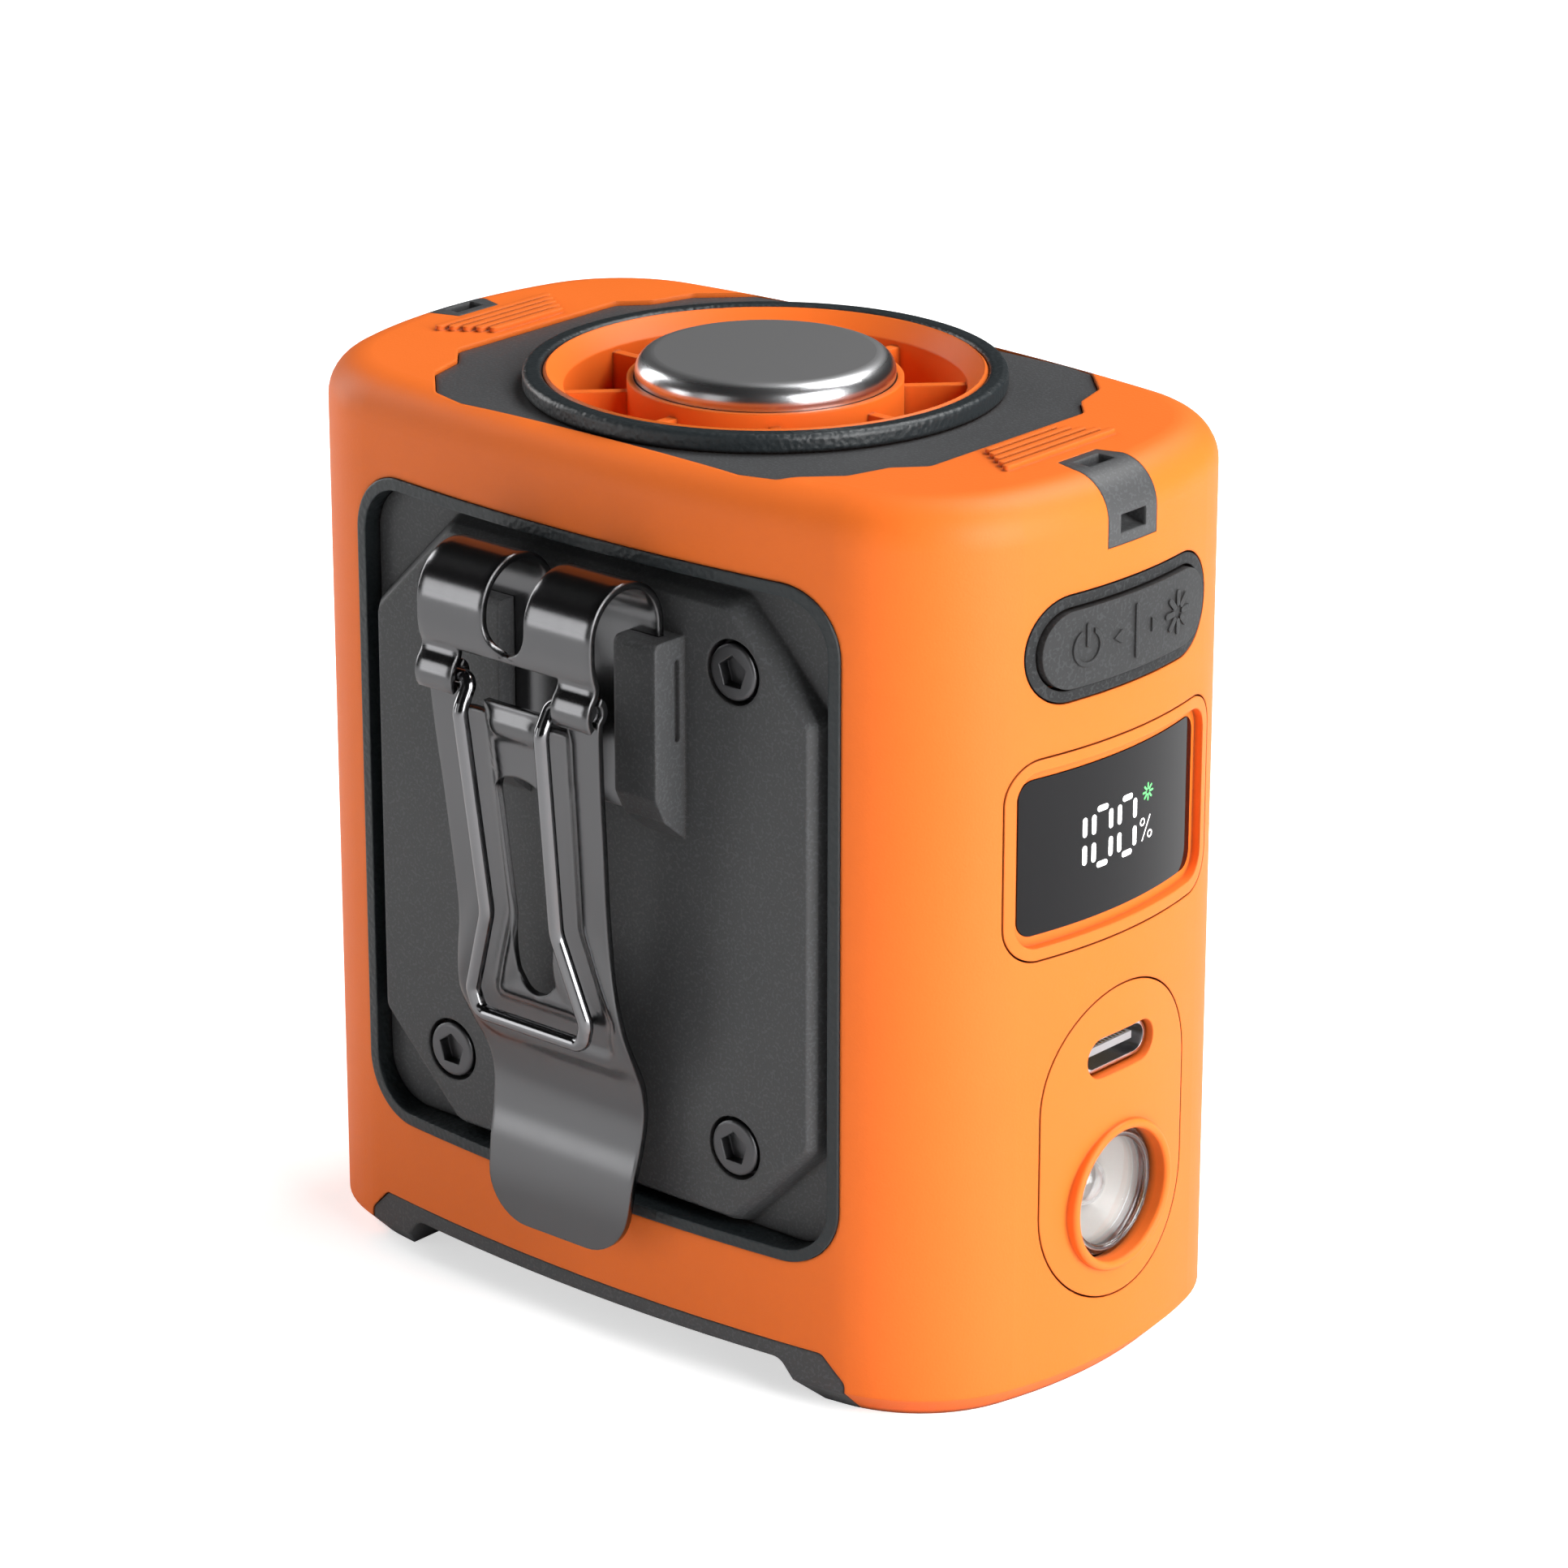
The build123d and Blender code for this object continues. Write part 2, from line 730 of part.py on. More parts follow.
clip_front = clip_back + 2 * curl_radius
tab_start = 125
tab_wrap = 95
tab_turn = ((0, -1), (-0.82, -0.57))
with BuildPart() as clip_spring:
    with BuildSketch(Plane.YZ.offset(-clip_half)):
        with BuildLine():
            ends = []
            for lift in (sheet / 2, -sheet / 2):
                back = -clip_back + lift
                front = -clip_front - lift
                Line((back, clip_tail), (back, curl_height))
                CenterArc((-clip_back - curl_radius, curl_height), curl_radius + lift, 0, 180)
                Line((front, curl_height), (front, pin_height + 2.6))
                Spline((front, pin_height + 2.6), around_pin(tab_start, pin_wrap + lift), tangents=tab_turn)
                CenterArc((-pin_depth, pin_height), pin_wrap + lift, tab_start, tab_wrap)
                ends.append(((back, clip_tail), around_pin(tab_start + tab_wrap, pin_wrap + lift)))
            Line(ends[0][0], ends[1][0])
            Line(ends[0][1], ends[1][1])
        make_face()
    extrude(amount=2 * clip_half)
    with BuildSketch(Plane.XZ.offset(clip_back - 2)):
        with Locations((0, clip_gap_low + clip_gap_half)):
            Circle(clip_gap_half)
        with Locations((0, (clip_gap_low + clip_gap_half + body_height) / 2)):
            Rectangle(2 * clip_gap_half, body_height - clip_gap_low - clip_gap_half)
    extrude(amount=body_depth, mode=Mode.SUBTRACT)
    with BuildSketch(Plane.XZ.offset(clip_back + curl_radius)):
        with Locations((0, clip_window_top - 4)):
            Rectangle(2 * clip_window_half, 8)
    extrude(amount=body_depth, mode=Mode.SUBTRACT)
clip_spring.part.label = "clip_spring"

# The lever's side view, from its knuckle down to its turned-out lip.
lever_spine = [
    (-33.2, 61.8),
    (-32.3, 53.0),
    (-31.1, 41.0),
    (-30.3, 34.0),
    (-27.6, 27.4),
    (-26.8, 24.2),
    (-28.0, 18.0),
    (-28.7, 11.0),
]
# Its half width falls to the waist, opens below the wire and closes towards the lip.
lever_edge = [
    (10.0, 67.0),
    (10.0, 62.5),
    (9.5, 53.0),
    (9.1, 41.0),
    (9.9, 33.5),
    (9.5, 26.0),
    (8.7, 18.0),
    (8.2, 10.8),
]


def lever_outline():
    """Front view of the lever with its slot and the notches that clear the wire."""
    with BuildSketch(Plane.XZ) as profile:
        with BuildLine():
            right = Spline(*lever_edge)
            left = Spline(*[(-x, z) for x, z in lever_edge])
            Line(right @ 0, left @ 0)
            Line(right @ 1, left @ 1)
        make_face()
        fillet(profile.vertices().group_by(Axis.Y)[0], 4.5)
        with BuildLine():
            Polyline((-3.2, 54.2), (3.2, 54.2), (2.3, 37.4), (-2.3, 37.4), close=True)
        make_face(mode=Mode.SUBTRACT)
        with Locations((0, 54.2)):
            Ellipse(3.2, 2.1, mode=Mode.SUBTRACT)
        with Locations((0, 37.4)):
            Circle(2.3, mode=Mode.SUBTRACT)
        with Locations((-5.0, 65.6), (5.0, 65.6)):
            RectangleRounded(2.9, 8.0, 1.2, mode=Mode.SUBTRACT)
    return profile.sketch


with BuildPart() as clip_lever:
    with BuildSketch(Plane.YZ.offset(-clip_half)):
        with BuildLine() as spine:
            CenterArc((-pin_depth, pin_height), pin_wrap, -62, 124)
            Spline(around_pin(-62), *lever_spine, tangents=((-0.88, -0.47), (-0.1, -1)))
        trace(spine.line, sheet)
    extrude(amount=2 * clip_half)
    extrude(lever_outline(), amount=body_depth, mode=Mode.INTERSECT)
clip_lever.part.label = "clip_lever"

# Bent wire: its ends turn outwards into the clip's rolled tabs.
wire_half = [
    (clip_half - 0.6, -pin_depth, pin_height),
    (4.9, -pin_depth, pin_height),
    (4.85, -pin_depth - 1.5, pin_height - 2.6),
    (4.2, -32.9, 42.6),
    (6.9, -32.1, 34.4),
    (6.3, -31.9, 32.2),
]
wire_radii = [0.9, 1.5, 4.0, 1.6, 1.2]
with BuildPart() as clip_wire:
    with BuildLine() as bend:
        FilletPolyline(
            *wire_half,
            *[(-x, y, z) for x, y, z in reversed(wire_half)],
            radius=wire_radii + wire_radii[::-1],
        )
    with BuildSketch(Plane(origin=bend.line @ 0, z_dir=bend.line % 0)):
        Circle(wire_radius)
    sweep()
clip_wire.part.label = "clip_wire"

# ------------------------------------------------------------------ air outlet
with BuildPart() as top_plate:
    extrude(plate_sketch(0.0, plate_seat), amount=plate_thickness)
    with BuildSketch(Plane.XY.offset(plate_seat)):
        Circle(throat_radius + duct_wall + fit_gap)
    extrude(amount=plate_thickness, mode=Mode.SUBTRACT)
top_plate.part.label = "top_plate"
plate_top = plate_seat + plate_thickness

with BuildPart() as outlet_ring:
    with BuildSketch(Plane.XZ):
        with Locations(((lip_radius + outlet_radius) / 2, plate_top + outlet_ring_height / 2)):
            RectangleRounded(outlet_ring_width, outlet_ring_height, 0.5)
    revolve()
outlet_ring.part.label = "outlet_ring"

lip_top = plate_top + outlet_ring_height - 0.05
with BuildPart() as outlet_grille:
    with BuildSketch(Plane.XZ):
        with BuildLine():
            Polyline(
                (throat_radius, outlet_low),
                (throat_radius, lip_top - lip_drop),
                (lip_radius - snug_gap - 0.3, lip_top),
                (lip_radius - snug_gap, lip_top - 0.3),
                (lip_radius - snug_gap, plate_top + snug_gap),
                (throat_radius + duct_wall, plate_top + snug_gap),
                (throat_radius + duct_wall, outlet_low),
                close=True,
            )
        make_face()
    revolve()
    with BuildSketch(Plane.XY.offset(plate_seat - 1.0 - snug_gap)):
        Circle(plate_half_y - plate_ledge - fit_gap)
        Circle(throat_radius + duct_wall / 2, mode=Mode.SUBTRACT)
    extrude(amount=1.0)
    for low, high, reach in (
        (vane_bottom, outlet_low + 0.5, duct_inner - 0.2),
        (outlet_low, vane_top, throat_radius + 0.4),
    ):
        with BuildSketch(Plane.XY.offset(low)):
            for i in range(vane_count // 2):
                Rectangle(2 * reach, vane_thickness, rotation=360 * i / vane_count)
        extrude(amount=high - low)
    with BuildSketch(Plane.XY.offset(hub_bottom)):
        Circle(hub_radius)
    extrude(amount=hub_top - hub_bottom)
    with BuildSketch(Plane.XY.offset(hub_bottom + hub_wall)):
        Circle(hub_radius - hub_wall)
    extrude(amount=hub_top, mode=Mode.SUBTRACT)
    with BuildSketch(Plane.XY.offset(cap_seat)):
        Circle(cap_radius + fit_gap)
    extrude(amount=hub_top, mode=Mode.SUBTRACT)
    with BuildSketch(Plane.XY.offset(impeller_low + impeller_floor + 1.0)):
        Circle(tube_radius)
    extrude(amount=hub_bottom + 0.5 - impeller_low - impeller_floor - 1.0)
    with BuildSketch(Plane.XY.offset(impeller_low)):
        Circle(bearing_radius + running_gap)
    extrude(amount=hub_bottom - impeller_low - 1.0, mode=Mode.SUBTRACT)
outlet_grille.part.label = "outlet_grille"

with BuildPart() as hub_cap:
    with BuildSketch(Plane.XY.offset(cap_seat + snug_gap)):
        Circle(cap_radius)
    extrude(amount=cap_top - cap_seat - snug_gap)
    fillet(hub_cap.edges().group_by(Axis.Z)[-1], cap_round)
    with BuildSketch(Plane.XY.offset(cap_seat)):
        Circle(cap_radius - 1.0)
    extrude(amount=cap_top - cap_seat - 2.0, mode=Mode.SUBTRACT)
hub_cap.part.label = "hub_cap"

with BuildPart() as air_duct:
    with BuildSketch(Plane.XY.offset(duct_low)):
        Circle(duct_inner + duct_wall)
        Circle(duct_inner, mode=Mode.SUBTRACT)
    extrude(amount=outlet_low - snug_gap - duct_low)
air_duct.part.label = "air_duct"

# ------------------------------------------------------------------ impeller and motor
blade_tip = duct_inner - blade_gap


def blade_section(radius, stagger, chord):
    """Strip across a blade at one radius, turned to the blade's stagger."""
    middle = (impeller_low + impeller_high) / 2
    with BuildSketch(Plane(origin=(radius, 0, middle), x_dir=(0, 1, 0), z_dir=(1, 0, 0))) as section:
        Rectangle(chord, 1.1, rotation=stagger)
    return section.sketch.faces()[0]


with BuildPart() as one_blade:
    loft(
        [
            blade_section(impeller_hub_radius - 0.8, 62, 15.5),
            blade_section((impeller_hub_radius + blade_tip) / 2, 53, 15.0),
            blade_section(blade_tip + 0.9, 44, 14.0),
        ]
    )

with BuildPart() as impeller:
    for i in range(blade_count):
        add(one_blade.part.rotate(Axis.Z, 360 * i / blade_count))
    with BuildSketch(Plane.XY.offset(impeller_low - 2)):
        Circle(blade_tip)
        Circle(impeller_hub_radius - 0.3, mode=Mode.SUBTRACT)
    extrude(amount=impeller_high - impeller_low + 4, mode=Mode.INTERSECT)
    with BuildSketch(Plane.XY.offset(impeller_low)):
        Circle(impeller_hub_radius)
    extrude(amount=impeller_high - impeller_low)
    fillet(impeller.edges().filter_by(GeomType.CIRCLE).group_by(Axis.Z)[0], 1.2)
    with BuildSketch(Plane.XY.offset(impeller_low + impeller_floor)):
        Circle(rotor_outer + snug_gap)
    extrude(amount=impeller_high, mode=Mode.SUBTRACT)
    with BuildSketch(Plane.XY.offset(impeller_low)):
        Circle(shaft_radius + snug_gap)
    extrude(amount=impeller_high, mode=Mode.SUBTRACT)
impeller.part.label = "impeller"

with BuildPart() as motor_rotor:
    with BuildSketch(Plane.XY.offset(impeller_low + impeller_floor + snug_gap)):
        Circle(rotor_outer)
        Circle(rotor_inner, mode=Mode.SUBTRACT)
    extrude(amount=impeller_high - impeller_low - impeller_floor - 1.0)
motor_rotor.part.label = "motor_rotor"

with BuildPart() as motor_shaft:
    with BuildSketch(Plane.XY.offset(impeller_low + 0.2)):
        Circle(shaft_radius)
    extrude(amount=hub_bottom - 2.0 - impeller_low)
motor_shaft.part.label = "motor_shaft"

stator_low = impeller_low + impeller_floor + 3.0
stator_high = impeller_high - 3.0
with BuildPart() as motor_stator:
    with BuildSketch(Plane.XY.offset(stator_low)):
        Circle(tube_radius + snug_gap + 1.2)
        with PolarLocations((tube_radius + stator_outer) / 2, 9):
            Rectangle(stator_outer - tube_radius - 0.6, 1.4)
        Circle(stator_outer)
        Circle(stator_outer - 0.9, mode=Mode.SUBTRACT)
        with PolarLocations((tube_radius + stator_outer) / 2, 9):
            Rectangle(stator_outer - tube_radius - 0.4, 1.4)
        Circle(tube_radius + snug_gap + 1.2)
        Circle(tube_radius + snug_gap, mode=Mode.SUBTRACT)
    extrude(amount=stator_high - stator_low)
motor_stator.part.label = "motor_stator"

with BuildPart() as motor_bearings:
    for low in (impeller_low + impeller_floor + 1.2, hub_bottom - 2.0 - bearing_length):
        with BuildSketch(Plane.XY.offset(low)):
            Circle(bearing_radius)
            Circle(shaft_radius + running_gap, mode=Mode.SUBTRACT)
        extrude(amount=bearing_length)
motor_bearings.part.label = "motor_bearings"

# ------------------------------------------------------------------ controls side
with BuildPart() as button_pad:
    add(wall_slab(pad_profile(), 0.0, pad_depth))
    add(wall_slab(pad_profile(-pad_width), -1.0, 2 * wall), mode=Mode.SUBTRACT)
button_pad.part.label = "button_pad"


def key_icons():
    """Raised marks on the key: power, two arrows round a bar, and a fan of eight strokes."""
    with BuildSketch(Plane.YZ) as marks:
        with Locations((0, pad_middle)):
            SlotOverall(5.0, 0.45, rotation=90)
        with Locations((-6.3, pad_middle)):
            Circle(1.75)
            Circle(1.35, mode=Mode.SUBTRACT)
        with Locations((-6.3, pad_middle + 1.5)):
            Rectangle(1.5, 1.4, mode=Mode.SUBTRACT)
        with Locations((-6.3, pad_middle + 1.1)):
            SlotOverall(2.2, 0.42, rotation=90)
        for side in (-1, 1):
            with BuildLine():
                Polyline(
                    (side * 3.1, pad_middle),
                    (side * 2.1, pad_middle + 0.65),
                    (side * 2.1, pad_middle - 0.65),
                    close=True,
                )
            make_face()
        for i in range(8):
            with Locations(Location((6.3, pad_middle), 45 * i)):
                with Locations((1.3, 0)):
                    SlotOverall(1.5, 0.55)
    return marks.sketch


key_low = pad_low + pad_width + key_gap
key_high = pad_high - pad_width - key_gap
with BuildPart() as rocker_key:
    add(wall_slab(key_icons(), -key_proud - icon_height, 0.0))
    add(wall_slab(pad_profile(-pad_width - key_gap), -key_proud, key_depth))
    with BuildSketch(Plane.XY.offset(key_low + 0.4)):
        with Locations((key_pivot_x + 0.8, 0)):
            Rectangle(2.8, 3.0)
    extrude(amount=key_high - key_low - 0.8)
    with BuildSketch(Plane.XY.offset(ear_low - key_ear / 2)):
        with Locations((key_pivot_x, 0)):
            Circle(key_pin_radius)
    extrude(amount=ear_high - ear_low + key_ear)
rocker_key.part.label = "rocker_key"

with BuildPart() as key_switches:
    with BuildSketch(Plane.YZ.offset(board_x + snug_gap)):
        with Locations((-6.5, pad_middle), (6.5, pad_middle)):
            RectangleRounded(4.5, 4.5, 0.4)
    extrude(amount=2.6)
    with BuildSketch(Plane.YZ.offset(board_x + snug_gap)):
        with Locations((-6.5, pad_middle), (6.5, pad_middle)):
            Circle(1.1)
    extrude(amount=side_x(6.5, key_depth) - 0.5 - board_x)
key_switches.part.label = "key_switches"

with BuildPart() as display_bezel:
    add(wall_slab(bezel_profile(), 0.0, bezel_depth))
    add(wall_slab(bezel_profile(-bezel_band), -1.0, bezel_ledge), mode=Mode.SUBTRACT)
    add(wall_slab(bezel_profile(-bezel_band - bezel_ledge), -1.0, 2 * wall), mode=Mode.SUBTRACT)
display_bezel.part.label = "display_bezel"

with BuildPart() as display_glass:
    add(
        wall_slab(
            bezel_profile(-bezel_band - bezel_ledge - snug_gap), glass_inset, glass_inset + glass_thickness
        )
    )
display_glass.part.label = "display_glass"

module_front = side_x(bezel_half - 2.6, glass_inset + glass_thickness) - 0.15
with BuildPart() as display_module:
    with BuildSketch(Plane.YZ.offset(module_front)):
        with Locations((0, (bezel_low + bezel_high) / 2)):
            Rectangle(2 * (bezel_half - 2.8), bezel_high - bezel_low - 5.6)
    extrude(amount=-1.8)
display_module.part.label = "display_module"

with BuildPart() as port_plate:
    add(wall_slab(port_profile(), 0.0, port_depth))
    with BuildSketch(Plane.XY.offset(torch_height)):
        with Locations((half_width + torch_proud - 2.0, torch_radius + torch_lip / 2)):
            RectangleRounded(4.0, torch_lip, 0.4)
    revolve(axis=Axis((0, 0, torch_height), (1, 0, 0)))
    extrude(plan_outline(port_depth), amount=body_height, mode=Mode.SUBTRACT)
    with BuildSketch(Plane.YZ.offset(board_x)):
        with Locations((0, usb_height)):
            SlotOverall(usb_width + 0.5, usb_tall + 0.7)
        with Locations((0, torch_height)):
            Circle(torch_radius)
    extrude(amount=body_width, mode=Mode.SUBTRACT)
port_plate.part.label = "port_plate"

usb_front = half_width - 1.0
with BuildPart() as usb_port:
    with BuildSketch(Plane.YZ.offset(board_x + snug_gap)):
        with Locations((0, usb_height)):
            SlotOverall(usb_width, usb_tall)
            SlotOverall(usb_width - 2 * usb_shell, usb_tall - 2 * usb_shell, mode=Mode.SUBTRACT)
    extrude(amount=usb_front - board_x)
usb_port.part.label = "usb_port"

with BuildPart() as usb_tongue:
    with BuildSketch(Plane.YZ.offset(board_x + snug_gap)):
        with Locations((0, usb_height)):
            SlotOverall(usb_width - 2 * usb_shell - fit_gap, usb_tall - 2 * usb_shell - fit_gap)
    extrude(amount=1.4)
    with BuildSketch(Plane.YZ.offset(board_x + 1.0)):
        with Locations((0, usb_height)):
            Rectangle(6.6, 0.7)
    extrude(amount=usb_front - board_x - 1.6)
usb_tongue.part.label = "usb_tongue"

lens_back = half_width - 3.0
with BuildPart() as torch_lens:
    with BuildSketch(Plane.YZ.offset(lens_back)):
        with Locations((0, torch_height)):
            Circle(torch_radius - fit_gap)
    extrude(amount=1.9)
    fillet(torch_lens.faces().sort_by(Axis.X)[-1].edges(), 0.5)
torch_lens.part.label = "torch_lens"

reflector_back = board_x + 0.9
with BuildPart() as torch_reflector:
    with BuildSketch(Plane.XY.offset(torch_height)) as half_section:
        with BuildLine():
            Polyline(
                (reflector_back, 1.6),
                (lens_back - snug_gap, torch_radius - 0.8),
                (lens_back - snug_gap, torch_radius - 0.1),
                (reflector_back + 0.9, torch_radius - 0.1),
                (reflector_back, 3.2),
                close=True,
            )
        make_face()
    revolve(axis=Axis((0, 0, torch_height), (1, 0, 0)))
torch_reflector.part.label = "torch_reflector"

with BuildPart() as torch_led:
    with BuildSketch(Plane.YZ.offset(board_x + snug_gap)):
        with Locations((0, torch_height)):
            Rectangle(2.0, 2.0)
    extrude(amount=0.7)
    with BuildSketch(Plane.YZ.offset(board_x + snug_gap)):
        with Locations((0, torch_height)):
            Circle(0.85)
    extrude(amount=1.5)
    fillet(torch_led.faces().sort_by(Axis.X)[-1].edges(), 0.5)
torch_led.part.label = "torch_led"

with BuildPart() as main_board:
    with BuildSketch(Plane.YZ.offset(board_x)):
        with Locations((0, body_height / 2 + 0.6)):
            RectangleRounded(2 * board_half, body_height - 16, 1.5)
        with Locations(*board_post_places):
            Circle(0.9, mode=Mode.SUBTRACT)
    extrude(amount=-board_thickness)
main_board.part.label = "main_board"

with BuildPart() as board_screws:
    with BuildSketch(Plane.YZ.offset(board_x - board_thickness - snug_gap)):
        with Locations(*board_post_places):
            Circle(1.5)
    extrude(amount=-0.9)
    with BuildSketch(Plane.YZ.offset(board_x - board_thickness - snug_gap - 0.2)):
        with Locations(*board_post_places):
            Circle(0.8)
    extrude(amount=board_thickness + 2.9)
board_screws.part.label = "board_screws"

# ------------------------------------------------------------------ battery
cell_y = cell_radius + 0.2
cell_x = -math.sqrt((duct_inner + duct_wall + cell_radius + 2.3) ** 2 - cell_y**2)
cell_low = base_top + base_boss_height + 0.3 + carrier_plate
cell_places = [(cell_x, -cell_y), (cell_x, cell_y)]

with BuildPart() as battery_cells:
    with BuildSketch(Plane.XY.offset(cell_low)):
        with Locations(*cell_places):
            Circle(cell_radius)
    extrude(amount=cell_length)
    fillet(battery_cells.edges().filter_by(GeomType.CIRCLE), 0.6)
battery_cells.part.label = "battery_cells"

carrier_posts = [(cell_x + 7.4, 0), (cell_x - 6.8, 0)]
with BuildPart() as battery_carrier:
    for low in (cell_low - carrier_plate - snug_gap, cell_low + cell_length + snug_gap):
        with BuildSketch(Plane.XY.offset(low)) as end_plate:
            add(plan_outline(wall + 0.6, low))
            with Locations((cell_x + 0.8, 0)):
                Rectangle(2 * cell_radius - 0.4, 4 * cell_radius, mode=Mode.INTERSECT)
            Circle(throat_radius + duct_wall + 0.3, mode=Mode.SUBTRACT)
            with Locations(*cell_places):
                Circle(cell_radius - 3.5, mode=Mode.SUBTRACT)
        extrude(amount=carrier_plate)
    with BuildSketch(Plane.XY.offset(cell_low - 0.5)):
        with Locations(*carrier_posts):
            Circle(1.3)
    extrude(amount=cell_length + 1.0)
battery_carrier.part.label = "battery_carrier"

# ------------------------------------------------------------------ strap loops
loops = {}
for name, side in (("left", -1), ("right", 1)):
    with BuildPart() as strap_loop:
        add(loop_form(side, loop_reach, 0.0))
        add(body_envelope(), mode=Mode.INTERSECT)
        with BuildSketch(Plane.XZ.offset(-loop_slot_half)):
            with Locations((side * half_width, body_height)):
                Circle(loop_bar + loop_slot)
                Circle(loop_bar, mode=Mode.SUBTRACT)
        extrude(amount=2 * loop_slot_half, mode=Mode.SUBTRACT)
    strap_loop.part.label = "strap_loop_" + name
    loops[name] = strap_loop.part

# ------------------------------------------------------------------ write the sub-parts
finished = [
    housing.part,
    base_plate.part,
    intake_grille.part,
    base_screws.part,
    front_gasket.part,
    rear_gasket.part,
    clip_panel.part,
    rear_panel.part,
    front_panel_screws.part,
    rear_panel_screws.part,
    clip_spring.part,
    clip_lever.part,
    clip_wire.part,
    top_plate.part,
    outlet_ring.part,
    outlet_grille.part,
    hub_cap.part,
    air_duct.part,
    impeller.part,
    motor_rotor.part,
    motor_shaft.part,
    motor_stator.part,
    motor_bearings.part,
    button_pad.part,
    rocker_key.part,
    key_switches.part,
    display_bezel.part,
    display_glass.part,
    display_module.part,
    port_plate.part,
    usb_port.part,
    usb_tongue.part,
    torch_lens.part,
    torch_reflector.part,
    torch_led.part,
    main_board.part,
    board_screws.part,
    battery_cells.part,
    battery_carrier.part,
    loops["left"],
    loops["right"],
]
os.makedirs("parts", exist_ok=True)
for piece in finished:
    export_step(piece, "parts/" + piece.label + ".step")
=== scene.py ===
import bmesh
import bpy
import math
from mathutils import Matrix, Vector


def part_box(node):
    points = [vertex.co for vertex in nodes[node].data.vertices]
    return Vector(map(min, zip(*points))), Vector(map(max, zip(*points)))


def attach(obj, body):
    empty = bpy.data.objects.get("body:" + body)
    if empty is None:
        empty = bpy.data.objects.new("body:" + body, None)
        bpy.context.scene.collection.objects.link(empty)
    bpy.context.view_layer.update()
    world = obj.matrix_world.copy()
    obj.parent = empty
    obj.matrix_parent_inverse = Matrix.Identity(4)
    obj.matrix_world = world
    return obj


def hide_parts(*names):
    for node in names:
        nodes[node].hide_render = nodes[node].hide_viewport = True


# Looks of a belt-clip fan round its fixed frame. Metres, +Z up, the clip on -Y, the controls on +X.

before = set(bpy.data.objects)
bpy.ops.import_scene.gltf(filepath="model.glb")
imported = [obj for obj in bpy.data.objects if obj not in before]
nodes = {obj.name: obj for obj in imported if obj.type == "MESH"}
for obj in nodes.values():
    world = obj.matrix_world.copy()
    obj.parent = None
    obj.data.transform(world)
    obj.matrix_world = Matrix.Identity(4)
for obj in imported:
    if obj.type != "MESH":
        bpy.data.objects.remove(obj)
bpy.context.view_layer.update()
MM = 0.001


# ------------------------------------------------------------------ camera, floor and light
def aim(holder, target):
    """Turn a camera or a light so that it looks at a point."""
    look = Vector(target) - holder.location
    holder.rotation_euler = look.to_track_quat("-Z", "Y").to_euler()


def add_camera(place, target, lens):
    """Camera with a 36 mm sensor."""
    view = bpy.data.cameras.new("product_camera")
    view.lens = lens
    view.sensor_width = 36.0
    view.clip_start = 0.01
    view.clip_end = 20.0
    holder = bpy.data.objects.new("product_camera", view)
    holder.location = place
    aim(holder, target)
    bpy.context.scene.collection.objects.link(holder)
    bpy.context.scene.camera = holder


def add_softbox(name, place, target, width, height, watts):
    """Rectangular white studio light."""
    lamp = bpy.data.lights.new(name, "AREA")
    lamp.shape = "RECTANGLE"
    lamp.size = width
    lamp.size_y = height
    lamp.energy = watts
    holder = bpy.data.objects.new(name, lamp)
    holder.location = place
    aim(holder, target)
    bpy.context.scene.collection.objects.link(holder)


FLOOR_GLOW = 0.6


def add_floor(half, low):
    """Plain pale floor, lifted a little where the camera sees it directly."""
    mesh = bpy.data.meshes.new("floor")
    corners = [(-half, -half, low), (half, -half, low), (half, half, low), (-half, half, low)]
    mesh.from_pydata(corners, [], [(0, 1, 2, 3)])
    floor = bpy.data.objects.new("floor", mesh)
    bpy.context.scene.collection.objects.link(floor)
    paint = bpy.data.materials.new("floor_paint")
    paint.use_nodes = True
    shader = paint.node_tree.nodes["Principled BSDF"]
    shader.inputs["Base Color"].default_value = (0.92, 0.92, 0.92, 1)
    shader.inputs["Roughness"].default_value = 0.9
    shader.inputs["Emission Color"].default_value = (1, 1, 1, 1)
    seen = paint.node_tree.nodes.new("ShaderNodeLightPath")
    glow = paint.node_tree.nodes.new("ShaderNodeMath")
    glow.operation = "MULTIPLY"
    glow.inputs[1].default_value = FLOOR_GLOW
    paint.node_tree.links.new(seen.outputs["Is Camera Ray"], glow.inputs[0])
    paint.node_tree.links.new(glow.outputs[0], shader.inputs["Emission Strength"])
    mesh.materials.append(paint)


def add_studio_world(horizon, zenith, backdrop):
    """Soft surroundings: dim at the horizon, lighter overhead, with a white backdrop seen straight on."""
    studio = bpy.data.worlds.new("studio")
    studio.use_nodes = True
    tree = studio.node_tree
    place = tree.nodes.new("ShaderNodeTexCoord")
    parts = tree.nodes.new("ShaderNodeSeparateXYZ")
    tree.links.new(place.outputs["Generated"], parts.inputs["Vector"])
    height = tree.nodes.new("ShaderNodeMapRange")
    height.inputs["From Min"].default_value = -0.1
    height.inputs["From Max"].default_value = 0.9
    height.inputs["To Min"].default_value = horizon
    height.inputs["To Max"].default_value = zenith
    tree.links.new(parts.outputs["Z"], height.inputs["Value"])
    seen = tree.nodes.new("ShaderNodeLightPath")
    level = tree.nodes.new("ShaderNodeMix")
    tree.links.new(seen.outputs["Is Camera Ray"], level.inputs[0])
    tree.links.new(height.outputs["Result"], level.inputs[2])
    level.inputs[3].default_value = backdrop
    tree.links.new(level.outputs[0], tree.nodes["Background"].inputs["Strength"])
    bpy.context.scene.world = studio


